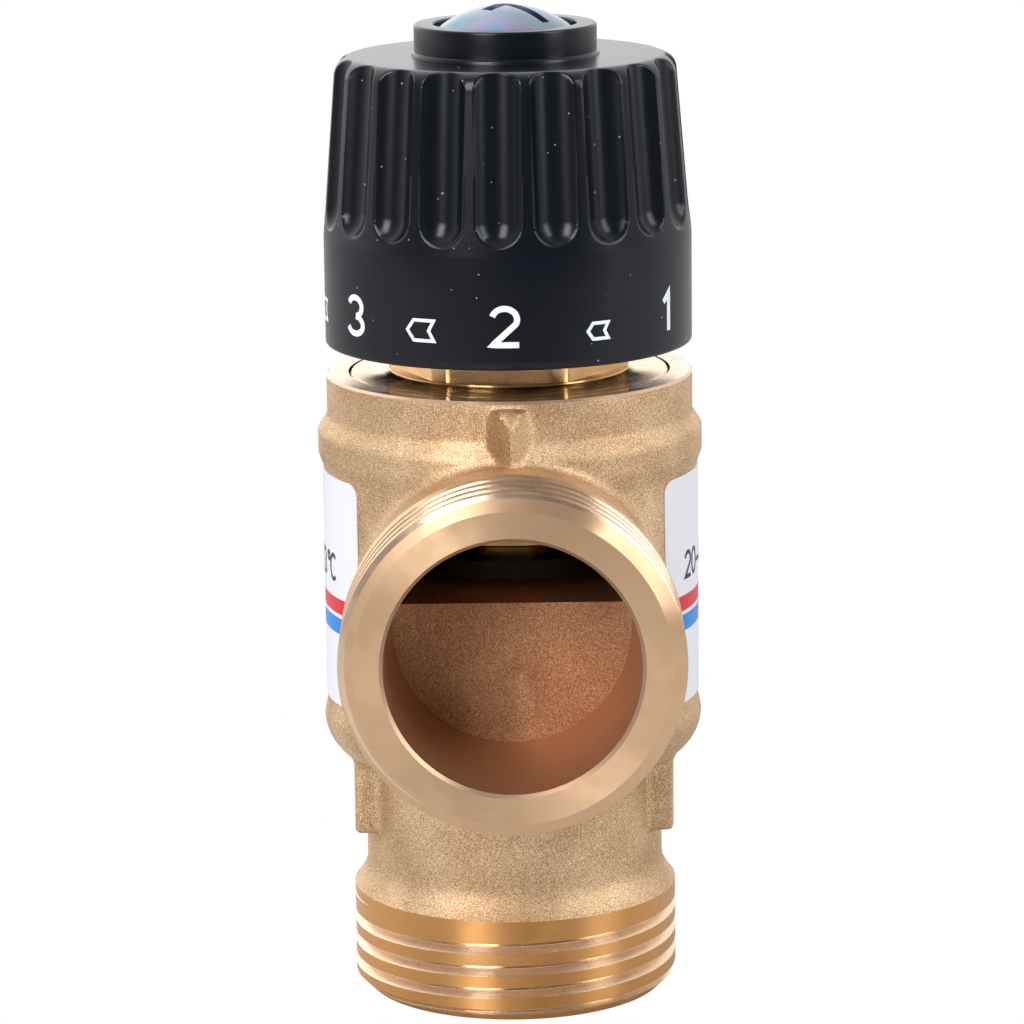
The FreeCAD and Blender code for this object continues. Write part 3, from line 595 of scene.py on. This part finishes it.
# Helical groove cutter: the groove's section carried along a helix that starts outside the chamfer and
# fades out of the land at its end.
def grooveCutter(look, axis, centre, startTurn):
    turns = look["threadLength"] / look["pitch"] - look["grooveRunOut"]
    turn = np.linspace(-1.0, turns, int(96 * (turns + 1.0)))
    angle = (turn + startTurn) * tau
    deep, half = look["grooveDepth"], look["grooveWidth"] / 2
    fade = np.clip((turns - turn) / look["grooveFade"], 0, 1)
    root = look["threadRadius"] - (deep - (1 - fade ** 1.5) * (deep + 0.15))
    narrow = half - deep * math.tan(math.radians(look["grooveFlank"]))
    # half of the section as (across, up from the root): round root, flank, soft crest, and clear of the land
    side = [(narrow * 0.4, -0.05), (narrow, 0.0), (half, deep - 0.05), (half + 0.07, deep + 0.02),
            (half + 0.3, deep + 0.6)]
    section = np.array([(-side[1][0], 0.0), (-side[0][0], -0.05)] + side + [(-x, y) for x, y in side[:1:-1]])
    spoke = np.stack([np.cos(angle), np.sin(angle), 0 * angle], -1)
    path = root[:, None] * spoke + np.stack([0 * angle, 0 * angle, turn * look["pitch"]], -1)
    path = turnAxis(path, axis) + np.array(centre)
    spoke = turnAxis(spoke, axis)
    up = turnAxis(np.repeat([[0.0, 0.0, 1.0]], len(turn), axis=0), axis)
    points = path[:, None] + section[None, :, :1] * up[:, None] + section[None, :, 1:] * spoke[:, None]
    # the groove's faces take the paler brass, a painted reflection
    return ringSolid("groove", points, *points.shape[:2], materials["thread"])


# Everything a lathe takes off one port's outside: the stock over the thread, the chamfer and the end.
def outsideCutter(look, axis, centre, finish):
    land, chamfer, far = look["threadRadius"], look["threadChamfer"], look["stockRadius"] + 6
    shoulder, front = look["threadLength"] + look["threadRelief"], -3
    profile = [(land - chamfer, 0), (land, chamfer), (land, shoulder), (far, shoulder), (far, front)]
    return turnedSolid("outside", profile, materials[finish], axis, centre, 288)


# A side port's bore and pocket, drawn from the port's face inwards, and the cast window that the pocket
# opens through into the barrel between two heights.
def pocketCutters(look, axis, centre, mouth, low, high):
    radius, depth, cast = look["pocketRadius"], look["pocketDepth"], materials["castInside"]
    bore = mouth + [(look["boreRadius"], look["straightBore"]), (radius, depth)]
    pocket = turnedSolid("pocket", bore, materials["bored"], axis, centre, 192)
    passage = turnedSolid("passage", [(radius, depth - 1), (radius, portReach)], cast, axis, centre, 192)
    plan = (-25, -portReach, 25, portReach)
    return [pocket, combine(passage, [blockSolid("window", plan, plan, low, high, 0, cast)], "INTERSECT")]


# The flat end of each side pocket is left as cast and darker: faces that look along Y at the pocket's depth.
# Faces near the rib that look to the left get painted shade, a darker copy of the blasted brass.
def darkenPocketEndsShadeRibFlank(body, depth, zone):
    mesh = body.data
    kinds = readRows(mesh.polygons, "material_index", 1, np.int32)[:, 0]
    x, y, z = readRows(mesh.polygons, "center").T / mm
    facing = readRows(mesh.polygons, "normal")
    flat = (np.abs(facing[:, 1]) > 0.9) & (np.abs(np.abs(y) - depth) < 0.05)
    kinds[flat] = list(mesh.materials).index(materials["castInside"])
    nearRibShade = (np.abs(x) < zone["halfWidth"]) & (y < -zone["front"])
    nearRibShade &= (z > bodyTop - zone["low"]) & (z < bodyTop - zone["high"])
    # painted shade on the rib's left flank
    mesh.materials.append(materials["castRibFlankShade"])
    kinds[nearRibShade & (facing[:, 0] < -0.4)] = len(mesh.materials) - 1
    mesh.polygons.foreach_set("material_index", kinds)


def makeBody():
    look = bodyLook
    middle, edge, topFinish = portAxisHeight, look["topChamfer"], materials["turnedTop"]
    body = castingMesh(materials["cast"])
    print("casting:", len(body.data.polygons), "faces")
    # each port is drawn from its face inwards
    outsides = [outsideCutter(look, axis, centre, finish) for axis, centre, finish in (
        ("+y", cold, "turnedY"), ("-y", hot, "turnedY"), ("z", mixed, "turnedZPaintedShade"))]
    collar, clear, low, high = look["collarRadius"], look["clear"], bodyTop - 2 * edge, bodyTop + edge
    faceCut = turnedSolid("faceCut", [(clear, bodyTop), (clear, bodyTop + 4)], topFinish)
    topChamfer = turnedSolid("topChamfer", [
        (collar - 2 * edge, high), (collar + edge, low), (clear, low), (clear, high)], topFinish, hollow=True)
    bore, gallery, web = look["boreRadius"], look["galleryRadius"], look["webBore"]
    seat, webLow, webHigh = middle - look["seatDrop"], middle - look["webBelow"], middle + look["webAbove"]
    roof, flange = middle + look["galleryRise"], bodyTop - look["flangeDepth"]
    mouth = [(bore + look["boreChamfer"] + beyond, -beyond), (bore, look["boreChamfer"])]
    core = turnedSolid("core", mouth + [
        (bore, seat), (gallery, seat), (gallery, webLow), (web, webLow), (web, webHigh), (gallery, webHigh),
        (gallery, roof), (look["threadBore"], roof), (look["threadBore"], flange),
        (look["flangeBore"], flange), (look["flangeBore"], bodyTop + beyond)],
        materials["bored"], segments=192)
    pockets = pocketCutters(look, "+y", cold, mouth, webHigh, roof)
    pockets += pocketCutters(look, "-y", hot, mouth, seat, webLow)
    dimpleCentre = (0.6, -portReach + look["pocketDepth"], middle - 4.8)
    dimple = turnedSolid("dimple", [(1.1, -0.5), (0.8, 0.0), (0.45, 0.12), (axisRadius, 0.14)],
                         materials["castInside"], "+y", dimpleCentre, 32)
    grooves = [grooveCutter(look, axis, centre, startTurn) for axis, centre, startTurn in (
        ("+y", cold, 0.12), ("-y", hot, 0.62), ("z", mixed, 0.35))]
    combine(body, outsides + [faceCut, topChamfer, core] + pockets + [dimple] + grooves, "DIFFERENCE")
    darkenPocketEndsShadeRibFlank(body, portReach - look["pocketDepth"], look["ribFlankShadeZone"])
    smoothShade(body, 30)
    body.name = "bodyDressed"
    finishPiece(body, "valve", ["valve_body"])
    print("body:", len(body.data.polygons), "faces")


makeBody()


# The knob is a fluted shell with an inner hub and ribs. In mm.
knobLook = {
    "fluteCount": 20,
    "fluteRadius": 2.75,
    "fluteDepth": 1.25,
    "fluteStart": 1.1,          # lower tip of the flutes above the plain band
    "fluteTurn": -2.8,          # degrees from the front
    "bandHeight": 11.0,
    "height": 29.0,
    "topRadius": 17.3,
    "topRound": 1.8,
    "edge": 0.3,
    "edgeSoft": 0.22,           # rounding of the flutes' edges
    "bossRadius": 9.19,
    "bossRound": 0.25,
    "bossFoot": 0.22,
    "bossFootHeight": 0.3,
    "bossBore": 7.2,
    "wall": 1.9,
    "floor": 2.1,
    "hubRadius": 6.6,
    "splineRadius": 4.05,
    "screwHole": 2.7,
    "ribWidth": 1.5,
    "ribHeight": 4.0,
    "lugReach": 11.4,
    "lugHalfAngle": 4.0,
}
bandTop = knobLow[2] + knobLook["bandHeight"]
knobTop = knobLow[2] + knobLook["height"]


# Knob's outline as a lathe would turn it, from inside its lower edge over the boss and down into its bore.
def knobOutline(look, taper):
    low, radius, boss = knobLow[2], knobHigh[1], knobHigh[2]
    edge, bossRadius, soft, bore = look["edge"], look["bossRadius"], look["bossRound"], look["bossBore"]
    foot, footTop = bossRadius + look["bossFoot"], knobTop + look["bossFootHeight"]
    rise = knobTop - look["topRound"] - bandTop
    # rows stand close together where the flutes begin
    rows = np.concatenate([np.linspace(0.02, 0.28, 44), np.linspace(0.29, 1, 46)])
    outline = [(radius - 3, low)] + arcPoints((radius - edge, low + edge), edge, -90, 0, 5)
    outline += [(radius, z) for z in np.linspace(low + 1, bandTop, 4)]
    outline += [(radius - taper * rise * s, bandTop + rise * s) for s in rows]
    outline += arcPoints((look["topRadius"] - look["topRound"], bandTop + rise), look["topRound"], 5, 90, 26)
    outline += [(foot + 0.05, knobTop)] + arcPoints((foot - 0.1, footTop - 0.1), 0.1, 0, 90, 4)
    outline += [(bossRadius + 0.08, footTop), (bossRadius, footTop + 0.08)]
    outline += arcPoints((bossRadius - soft, boss - soft), soft, 0, 90, 6)
    outline += [(bore + 0.15, boss), (bore, boss - 0.15), (bore, knobTop), (axisRadius, knobTop)]
    return np.array(outline), foot


# Knob's outside: the outline's radius is cut back by the flutes. A flute is a tilted cylinder with a ball
# end, so at an angle f from its middle the cut reaches R cos f - sqrt(r^2 - h^2 - (R sin f)^2). Beside the
# flute the root's sign turns, and the value stays above the outline.
def knobOutside(look, material):
    radius, count, ball = knobHigh[1], look["fluteCount"], look["fluteRadius"]
    taper = (radius - look["topRadius"]) / (knobTop - look["topRound"] - bandTop)
    ring, foot = knobOutline(look, taper)
    outline, z = ring[:, :1], ring[:, 1:]
    halfWidth = math.sqrt(ball ** 2 - (ball - look["fluteDepth"]) ** 2)
    # columns are pulled towards the flutes' edges
    share = np.linspace(-0.5, 0.5, 31)[:-1]
    pulled = share - 0.06 * np.sin(tau * share * 2) * (1 - np.abs(2 * share))
    off = np.tile(pulled, count) * tau / count
    turn = (np.repeat(np.arange(count), len(share)) + np.tile(pulled, count)) * tau / count
    turn = turn + (math.radians(look["fluteTurn"]) - math.pi / 2)
    centre = radius - taper * np.maximum(z - bandTop, 0) + ball - look["fluteDepth"]
    below = np.maximum(bandTop + look["fluteStart"] + halfWidth - z, 0)
    room = ball ** 2 - below ** 2 - (centre * np.sin(off)) ** 2
    cut = centre * np.cos(off) + np.where(room > 0, -1.0, 0.9) * np.sqrt(np.abs(room))
    fluted = (z > bandTop) & (z < knobTop + 1e-6) & (outline > foot + 0.2)
    r = np.where(fluted, softLesser(outline + 0 * off, cut, look["edgeSoft"]), outline)
    return ringSolid("knobDressed", ringPoints(r, z, turn), len(ring), len(turn), material)


def makeKnob():
    look = knobLook
    nylon = materials["nylon"]
    low, wall = knobLow[2], look["wall"]
    shell, grip = knobHigh[1] - wall, look["topRadius"] - wall - look["fluteDepth"]
    ceiling = knobTop - look["floor"]
    knob = knobOutside(look, nylon)
    inside = turnedSolid("inside", [
        (shell, low - 1), (shell, bandTop), (grip, bandTop + wall), (grip, ceiling)], nylon)
    combine(knob, [inside], "DIFFERENCE")
    hubLow, hubRadius = nodeBox("spindle_clip")[1][2] + 0.1, look["hubRadius"]
    hub = turnedSolid("hub", [(hubRadius, hubLow), (hubRadius, ceiling + 1)], nylon, segments=96)
    half = look["ribWidth"] / 2
    plan = (hubRadius - 1, -half, grip + 0.6, half)
    ribs = [blockSolid("rib", plan, plan, ceiling - look["ribHeight"], ceiling + 1, 60 * number, nylon)
            for number in range(6)]
    half = look["lugReach"] * math.sin(math.radians(look["lugHalfAngle"]))
    plan = (look["lugReach"], -half, shell + 0.8, half)
    lug = blockSolid("lug", plan, plan, nodeBox("stop_ring")[0][2], bandTop, 180, nylon)
    combine(knob, [hub] + ribs + [lug], "UNION")
    spline, hole = look["splineRadius"], look["screwHole"]
    bore = turnedSolid("bore", [
        (spline, hubLow - 1), (spline, ceiling), (hole, ceiling), (hole, knobTop + 1)], nylon, segments=96)
    combine(knob, [bore], "DIFFERENCE")
    smoothShade(knob, 35)
    finishPiece(knob, "knob", ["knob"])
    print("knob:", len(knob.data.polygons), "faces")


makeKnob()

# Dial print: figures and arrows as thin films of ink on the knob's plain band. In mm.
printLook = {
    "height": 4.2,              # figure height with its stroke
    "unitWidth": 4.4,           # width that one unit of a figure's strokes takes
    "stroke": 0.6,
    "baseline": 2.3,            # above the knob's lower edge
    "lift": 0.02,
    "turns": {1: 57.3, 2: -0.9, 3: -54.7, 4: -110.5, 5: -166.5, 6: -222.5},     # degrees from the front
    "arrowBase": 2.62,
    "arrowLength": 2.7,
    "arrowHeight": 2.2,
    "arrowStroke": 0.34,
    "arrowGrowth": {"least": 0.6, "step": 0.24, "most": 1.08},
}

# Strokes of each sign in a box one unit high, drawn through the middle of the ink.
strokeLow, strokeHigh = 0.06, 0.94
signStrokes = {
    0: [arcPoints((0.33, 0.5), (0.27, 0.44), 90, 450, 28)],
    1: [[(0.08, 0.72), (0.30, 0.94), (0.30, 0.0)]],
    2: [arcPoints((0.34, 0.68), (0.28, 0.26), 165, -28, 18) + [(0.07, 0.06), (0.66, 0.06)]],
    3: [arcPoints((0.32, 0.715), (0.25, 0.225), 160, -80, 16),
        arcPoints((0.32, 0.27), (0.285, 0.215), 85, -165, 16)],
    4: [[(0.50, 0.0), (0.50, 0.94), (0.05, 0.25), (0.68, 0.25)]],
    5: [[(0.58, 0.94), (0.16, 0.94), (0.11, 0.50)] + arcPoints((0.33, 0.31), (0.29, 0.255), 130, -160, 18)],
    6: [arcPoints((0.36, 0.60), (0.29, 0.34), 55, 180, 12)
        + arcPoints((0.34, 0.30), (0.27, 0.245), 180, -180, 24)],
    "-": [[(0.0, 0.42), (0.7, 0.42)]],
    "°": [arcPoints((0.16, 0.82), 0.14, 90, 450, 16)],
    "C": [arcPoints((0.37, 0.5), (0.32, 0.44), 48, 312, 24)],
}


# Ribbon of even width along a polyline: each point gives two, shifted either way along its mitre.
def ribbon(points, width):
    line = np.array(points, float)
    closed = np.allclose(line[0], line[-1])
    if closed:
        line = line[:-1]
    before = line - np.roll(line, 1, axis=0)
    after = np.roll(line, -1, axis=0) - line
    if not closed:
        before[0], after[-1] = after[0], before[-1]
    unit = [v / np.maximum(np.linalg.norm(v, axis=1, keepdims=True), 1e-9) for v in (before, after)]
    normals = [np.stack([-u[:, 1], u[:, 0]], -1) for u in unit]
    mitre = normals[0] + normals[1]
    mitre /= np.maximum((mitre * normals[0]).sum(1, keepdims=True), 0.35)
    return line + mitre * width / 2, line - mitre * width / 2, closed


# Outline of an arrow with a notched tail, pointing left, centred on the origin.
def arrowOutline(look):
    length, height = look["arrowLength"], look["arrowHeight"]
    half = height / 2 - look["arrowStroke"] / 2
    return [(-length / 2, 0), (-length / 4, half), (length / 2, half), (length / 3.2, 0),
            (length / 2, -half), (-length / 4, -half), (-length / 2, 0)]


# Film of ink wrapped on a cylinder: x in mm becomes an angle, y a height. Its edge reaches into the cylinder.
def wrapStrokes(name, strokes, radius, turn, baseZ, lift, material, width):
    points, faces = [], []
    outer, inner = radius + lift, radius - 0.05
    for stroke in strokes:
        fine = []
        for (ax, ay), (bx, by) in zip(stroke[:-1], stroke[1:]):
            pieces = max(1, int(math.hypot(bx - ax, by - ay) / 0.35))
            fine += [(ax + (bx - ax) * k / pieces, ay + (by - ay) * k / pieces) for k in range(pieces)]
        left, right, closed = ribbon(fine + [stroke[-1]], width)
        count, base = len(left), len(points)
        for flat, r in ((left, outer), (right, outer), (right, inner), (left, inner)):
            points += ringPoints(r, baseZ + flat[:, 1], math.radians(turn) + flat[:, 0] / radius).tolist()
        faces += (np.array(gridFaces(4, count, True, closed)) + base).tolist()
        if not closed:
            corners = [base + count * k for k in range(4)]
            faces += [corners, [corner + count - 1 for corner in corners[::-1]]]
    return meshFromFaces(name, np.array(points), faces, material)


# Turns the faces of a film outwards.
def recalculate(piece):
    bm = bmesh.new()
    bm.from_mesh(piece.data)
    bmesh.ops.recalc_face_normals(bm, faces=bm.faces)
    bm.to_mesh(piece.data)
    bm.free()


# Each figure is centred on its own strokes. An arrow points to the next figure, and grows with the figures.
def makeDialPrint():
    look, ink, lift, stroke = printLook, materials["ink"], printLook["lift"], printLook["stroke"]
    radius, low, growing = knobHigh[1], knobLow[2], look["arrowGrowth"]
    scale = (look["height"] - stroke) / (strokeHigh - strokeLow)
    films = []
    for number, turn in look["turns"].items():
        across = [x for line in signStrokes[number] for x, y in line]
        middle = (min(across) + max(across)) / 2
        lines = [[((x - middle) * look["unitWidth"], stroke / 2 + (y - strokeLow) * scale) for x, y in line]
                 for line in signStrokes[number]]
        base = low + look["baseline"]
        films.append(wrapStrokes("figure", lines, radius, turn - 90, base, lift, ink, stroke))
        if number + 1 in look["turns"]:
            growth = min(growing["most"], growing["least"] + growing["step"] * number)
            arrow = [(x * growth, (y + look["arrowHeight"] / 2) * growth) for x, y in arrowOutline(look)]
            between = (turn + look["turns"][number + 1]) / 2 - 90
            films.append(wrapStrokes("arrow", [arrow], radius, between, low + look["arrowBase"], lift, ink,
                                     look["arrowStroke"]))
    bpy.ops.object.select_all(action="DESELECT")
    for film in films:
        film.select_set(True)
    bpy.context.view_layer.objects.active = films[0]
    bpy.ops.object.join()
    films[0].name = "dialPrint"
    recalculate(films[0])
    finishPiece(films[0], "knob")
    print("dial printed")


makeDialPrint()

# The bonnet shows a step ring and a hexagon over the body, and its skirt inside it. In mm.
bonnetLook = {
    "skirtRadius": 13.4,
    "skirtBore": 10.6,
    "threadRadius": 15.1,
    "flangeRadius": 16.15,
    "roofThickness": 0.85,      # under the flange
    "stepFoot": 12.9,
    "stepRadius": 12.2,
    "stepHeight": 0.5,
    "hexAcross": 22.0,
    "hexHeight": 7.25,
    "hexTurn": -5.4,            # degrees from square to the front
    "hexChamfer": 0.25,
    "neckRadius": 8.0,
    "neckChamfer": 0.3,
    "spindleBore": 4.55,
    "ringSpacing": 1.5,         # shallow tool rings turned on the skirt
    "ringDepth": 0.12,
}


# Bonnet: lathe outline whose radius, over the hexagon's height, is the lesser of the circle and the
# hexagon's flat, across / 2 / cos(angle from the flat's middle).
def makeBonnet():
    # the bonnet takes the lighter brass, a painted reflection
    look, brass = bonnetLook, materials["bonnetBrassPaintedReflection"]
    low, high = nodeBox("bonnet")[0][2], nodeBox("bonnet")[1][2]
    hexLow = bodyTop + look["stepHeight"]
    hexTop = hexLow + look["hexHeight"]
    gallery, flangeLow = portAxisHeight + bodyLook["galleryRise"], bodyTop - bodyLook["flangeDepth"]
    skirt, flange, step = look["skirtRadius"], look["flangeRadius"], look["stepRadius"]
    neck, chamfer, soft, edge = look["neckRadius"], look["neckChamfer"], look["hexChamfer"], 0.15
    outline = [(axisRadius, low), (skirt - 0.2, low)]
    for z in np.linspace(low + 0.2, gallery - 0.1, 40):
        wave = (1 - math.cos(tau * (z - low) / look["ringSpacing"])) / 2
        outline.append((skirt - look["ringDepth"] * wave, z))
    outline += [(look["threadRadius"], gallery + 0.05), (look["threadRadius"], flangeLow),
                (flange, flangeLow), (flange, bodyTop - edge), (flange - edge, bodyTop),
                (look["stepFoot"], bodyTop),
                (step + 0.02, bodyTop + 0.55 * look["stepHeight"]), (step + 0.02, hexLow - 0.05)]
    hexRows = [(step - 0.02, hexLow), (step, hexLow + soft)]
    hexRows += [(step, z) for z in np.linspace(hexLow + 0.5, hexTop - 0.4, 3)]
    hexRows += [(step - 0.02, hexTop - soft), (step - 0.25, hexTop)]
    above = [(neck, hexTop), (neck, high - chamfer), (neck - chamfer, high), (axisRadius, high)]
    ring = np.array(outline + hexRows + above)
    segments = 360
    angle = np.arange(segments) * tau / segments
    facing = angle + math.pi / 2 - math.radians(look["hexTurn"])
    fromFlat = (facing + math.pi / 6) % (math.pi / 3) - math.pi / 6
    flat = look["hexAcross"] / 2 / np.cos(fromFlat)
    radius = np.repeat(ring[:, :1], segments, axis=1)
    rows = slice(len(outline), len(outline) + len(hexRows))
    radius[rows] = softLesser(radius[rows], flat + 0 * radius[rows], 0.12)
    bonnet = ringSolid("bonnetDressed", ringPoints(radius, ring[:, 1:], angle), len(ring), segments, brass)
    shoulder, skirtBore, hole = flangeLow - look["roofThickness"], look["skirtBore"], look["spindleBore"]
    bore = turnedSolid("bore", [
        (skirtBore, low - 1), (skirtBore, shoulder), (hole, shoulder), (hole, high + 1)],
        brass, segments=180)
    combine(bonnet, [bore], "DIFFERENCE")
    smoothShade(bonnet, 25)
    finishPiece(bonnet, "valve", ["bonnet"])
    print("bonnet made")


makeBonnet()

# The knob's screw has a domed head with a long slot and a shorter, deeper one square to it. In mm.
screwLook = {
    "rim": 2.0,
    "edge": 0.1,
    "shankRadius": 2.5,
    "shankChamfer": 0.3,
    "floor": {"length": 0.75, "width": 0.36},       # a slot's half floor as a share of its mouth
    "slots": [{"length": 7.4, "width": 1.4, "depth": 1.5, "turn": -42.0},
              {"length": 3.1, "width": 1.6, "depth": 1.6, "turn": 48.0}],
}


# Dome: height h over radius R is a circular arc of radius (R^2 + h^2) / 2h; the rim's edge is chamfered. A
# slot narrows and shortens towards its floor.
def makeScrew():
    look, zinc = screwLook, materials["zinc"]
    low, high = nodeBox("knob_screw")
    radius, foot, top = high[0], low[2], high[2]
    seat = nodeBox("screw_washer")[1][2]
    rim, edge, shank, chamfer = seat + look["rim"], look["edge"], look["shankRadius"], look["shankChamfer"]
    dome = top - rim
    sphere = (radius ** 2 + dome ** 2) / (2 * dome)
    outline = [(shank - chamfer, foot), (shank, foot + chamfer), (shank, seat), (radius - edge, seat),
               (radius, seat + edge), (radius, rim - edge)]
    outline += [(radius * s, top - sphere + math.sqrt(sphere ** 2 - (radius * s) ** 2))
                for s in np.linspace(0.985, 0, 24)[:-1]]
    outline.append((axisRadius, top))
    screw = turnedSolid("screwDressed", outline, zinc, segments=128)
    arms = []
    for slot in look["slots"]:
        long, wide = slot["length"], slot["width"] / 2
        short, narrow = long * look["floor"]["length"], slot["width"] * look["floor"]["width"]
        arms.append(blockSolid("arm", (-short, -narrow, short, narrow), (-long, -wide, long, wide),
                               top - slot["depth"], top + 0.5, slot["turn"], zinc))
    combine(screw, arms, "DIFFERENCE")
    smoothShade(screw, 30)
    finishPiece(screw, "knob", ["knob_screw"])
    print("screw made")


makeScrew()

# Labels: printed film on both sides. Heights are in mm above the bottom port's face.
labelLook = {
    "film": "#E2E4EC",
    "stripes": [{"low": 40.7, "high": 42.3, "ink": "#D40F2A"},
                {"low": 38.6, "high": 40.3, "ink": "#0580D6"}],
    "textBase": 43.9,
    "textHeight": 2.85,
    "textStroke": 0.42,
    "lift": 0.012,
    "signs": [2, 0, "-", 4, 3, " ", "°", "C"],
    "signWidths": {"-": 0.8, "°": 0.36, " ": 0.2, "other": 0.74},       # shares of the text's height
    "sides": {"label_left": {"turn": 180, "start": -6.8}, "label_right": {"turn": 0, "start": -8.1}},
}


# Glossy printed film: bluish white with a red and a blue stripe across it, each between two heights.
def labelFilm():
    look = labelLook
    material, tree, shader = newMaterial("printed label film", look["film"], 0.0, 0.35,
                                         **{"Specular IOR Level": 0.3})
    height = addNode(tree, "SeparateXYZ", {"Vector": objectPlace(tree)}).outputs["Z"]
    colour = linearColour(look["film"])
    for stripe in look["stripes"]:
        over = maths(tree, "GREATER_THAN", height, stripe["low"] * mm)
        under = maths(tree, "LESS_THAN", height, stripe["high"] * mm)
        colour = mixColours(tree, maths(tree, "MULTIPLY", over, under), colour, linearColour(stripe["ink"]))
    tree.links.new(colour, shader.inputs["Base Color"])
    addBump(tree, shader, grainNoise(tree, 0.6), 0.004, 0.4)
    return material


def makeLabels():
    look = labelLook
    tall, widths = look["textHeight"], look["signWidths"]
    film = labelFilm()
    for node, side in look["sides"].items():
        finishNodes([node], film)
        low, high = nodeBox(node)
        radius = max(abs(low[0]), abs(high[0]))
        pen, strokes = side["start"], []
        for sign in look["signs"]:
            strokes += [[(pen + x * tall, y * tall) for x, y in line] for line in signStrokes.get(sign, [])]
            pen += widths.get(sign, widths["other"]) * tall
        text = wrapStrokes(node.replace("_", "") + "Text", strokes, radius, side["turn"], look["textBase"],
                           look["lift"], materials["labelInk"], look["textStroke"])
        recalculate(text)
        finishPiece(text, "valve")
    print("labels printed")


# Gives solids that keep their own shape a material.
def finishNodes(names, material):
    for name in names:
        mesh = frame["nodes"][name].data
        mesh.materials.clear()
        mesh.materials.append(material)


makeLabels()
nodeFinishes = {
    "rubber": ["bonnet_o_ring", "spindle_o_ring_lower", "spindle_o_ring_upper", "sleeve_o_ring"],
    "springSteel": ["stop_ring_clip", "guide_clip", "return_spring", "spindle_clip", "overtravel_spring",
                    "cup_clip", "element_clip"],
    "acetal": ["thrust_washer"],
    "nylon": ["stop_ring"],
    "darkPlastic": ["mixing_sleeve"],
    "copper": ["wax_element"],
    "zinc": ["screw_washer", "element_piston"],
    "bonnetBrassPaintedReflection": ["spindle", "adjusting_nut", "pressure_cup", "element_guide"],
}
for finish, names in nodeFinishes.items():
    finishNodes(names, materials[finish])
print("solids finished")

# Springs: each takes a copy of its node's coil. The table also names the two bodies that it stands on.
springEnds = {
    "returnSpringDressed": {"node": "return_spring", "low": "valve", "high": "shuttle"},
    "overtravelSpringDressed": {"node": "overtravel_spring", "low": "cup", "high": "carrier"},
}


# Each coil copy is set in the world's frame, and its node is hidden.
def makeSprings():
    bpy.context.view_layer.update()
    for name, spring in springEnds.items():
        source = frame["nodes"][spring["node"]]
        coil = newObject(name, source.data.copy())
        coil.matrix_world = source.matrix_world.copy()
        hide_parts(spring["node"])
        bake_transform(coil)
    print("springs made")


makeSprings()

cameraLook = {
    "distance": 0.480,          # m, from the knob axis
    "height": 0.1517,
    "aside": 0.00011,
    "pitch": 0.21,              # rad below level
    "roll": -0.012,             # rad
    "sensor": 36,               # mm
    "focal": 168.53,            # mm
}


def makeCamera():
    look = cameraLook
    data = bpy.data.cameras.new("camera")
    data.sensor_width = look["sensor"]
    data.lens = look["focal"]
    data.clip_start, data.clip_end = 0.01, 20
    camera = newObject("camera", data)
    turn = Matrix.Rotation(math.pi / 2 - look["pitch"], 4, "X") @ Matrix.Rotation(look["roll"], 4, "Z")
    camera.matrix_world = Matrix.Translation((look["aside"], -look["distance"], look["height"])) @ turn
    bpy.context.scene.camera = camera


# Soft lamp that looks at the middle of the part. Places and sizes in m, power in W.
def makeLamp(name, place, power):
    target, size = (0, 0, 0.05), (0.28, 0.6)
    data = bpy.data.lights.new(name, "AREA")
    data.shape = "RECTANGLE"
    data.size, data.size_y = size
    data.energy = power
    lamp = newObject(name, data)
    lamp.location = place
    lamp.rotation_euler = (Vector(target) - Vector(place)).to_track_quat("-Z", "Y").to_euler()


# 1 for rays that come straight from the camera or through clear material, 0 for the others.
def cameraRays(tree):
    path = addNode(tree, "LightPath")
    return maths(tree, "MAXIMUM", path.outputs["Is Camera Ray"], path.outputs["Is Transmission Ray"])


# Smooth ramp from one strength to another along a direction's coordinate.
def strengthRamp(tree, value, start, end, low, high):
    return addNode(tree, "MapRange", {
        "Value": value, "From Min": start, "From Max": end, "To Min": low, "To Max": high},
        interpolation_type="SMOOTHSTEP").outputs["Result"]


# World: the camera sees plain white. Surfaces see a bright backdrop, a dimmer front and a darker right
# side: the strength is (front to back ramp along Y) times (left to right ramp along X).
def makeWorld():
    world = bpy.data.worlds.new("studio")
    bpy.context.scene.world = world
    tree = emptyTree(world)
    coords = addNode(tree, "TexCoord")
    split = addNode(tree, "SeparateXYZ", {"Vector": coords.outputs["Generated"]})
    side = strengthRamp(tree, split.outputs["X"], -0.25, 0.35, 1.0, 0.7)
    depth = strengthRamp(tree, split.outputs["Y"], -0.6, 0.6, 0.22, 1.7)
    soft, plain = (addNode(tree, "Background", {"Color": (1, 1, 1, 1), "Strength": strength}).outputs[0]
                   for strength in (maths(tree, "MULTIPLY", side, depth), 1.0))
    mixed = addNode(tree, "MixShader", {0: cameraRays(tree), 1: soft, 2: plain})
    addNode(tree, "OutputWorld", {"Surface": mixed.outputs[0]})


# White floor, in mm, which ends in front of the part. The camera sees it as plain white, like the world.
def makeFloor():
    front, far, height = -310, 1500, -0.4
    points = np.array([[-far, front, height], [far, front, height], [far, far, height], [-far, far, height]])
    material = bpy.data.materials.new("pale studio floor")
    tree = emptyTree(material)
    diffuse = addNode(tree, "BsdfDiffuse", {"Color": linearColour("#CACACA")})
    glow = addNode(tree, "Emission", {"Color": (1, 1, 1, 1), "Strength": 1.0})
    mixed = addNode(tree, "MixShader", {0: cameraRays(tree), 1: diffuse.outputs[0], 2: glow.outputs[0]})
    addNode(tree, "OutputMaterial", {"Surface": mixed.outputs[0]})
    floor = meshFromFaces("floor", points, [[0, 1, 2, 3]], material)


makeCamera()
makeWorld()
makeFloor()
makeLamp("keyLamp", (-0.29, -0.54, 0.44), 4.5)
makeLamp("fillLamp", (0.63, -0.29, 0.40), 2.5)
bpy.context.scene.view_settings.view_transform = "Standard"
print("camera, world and lamps set")
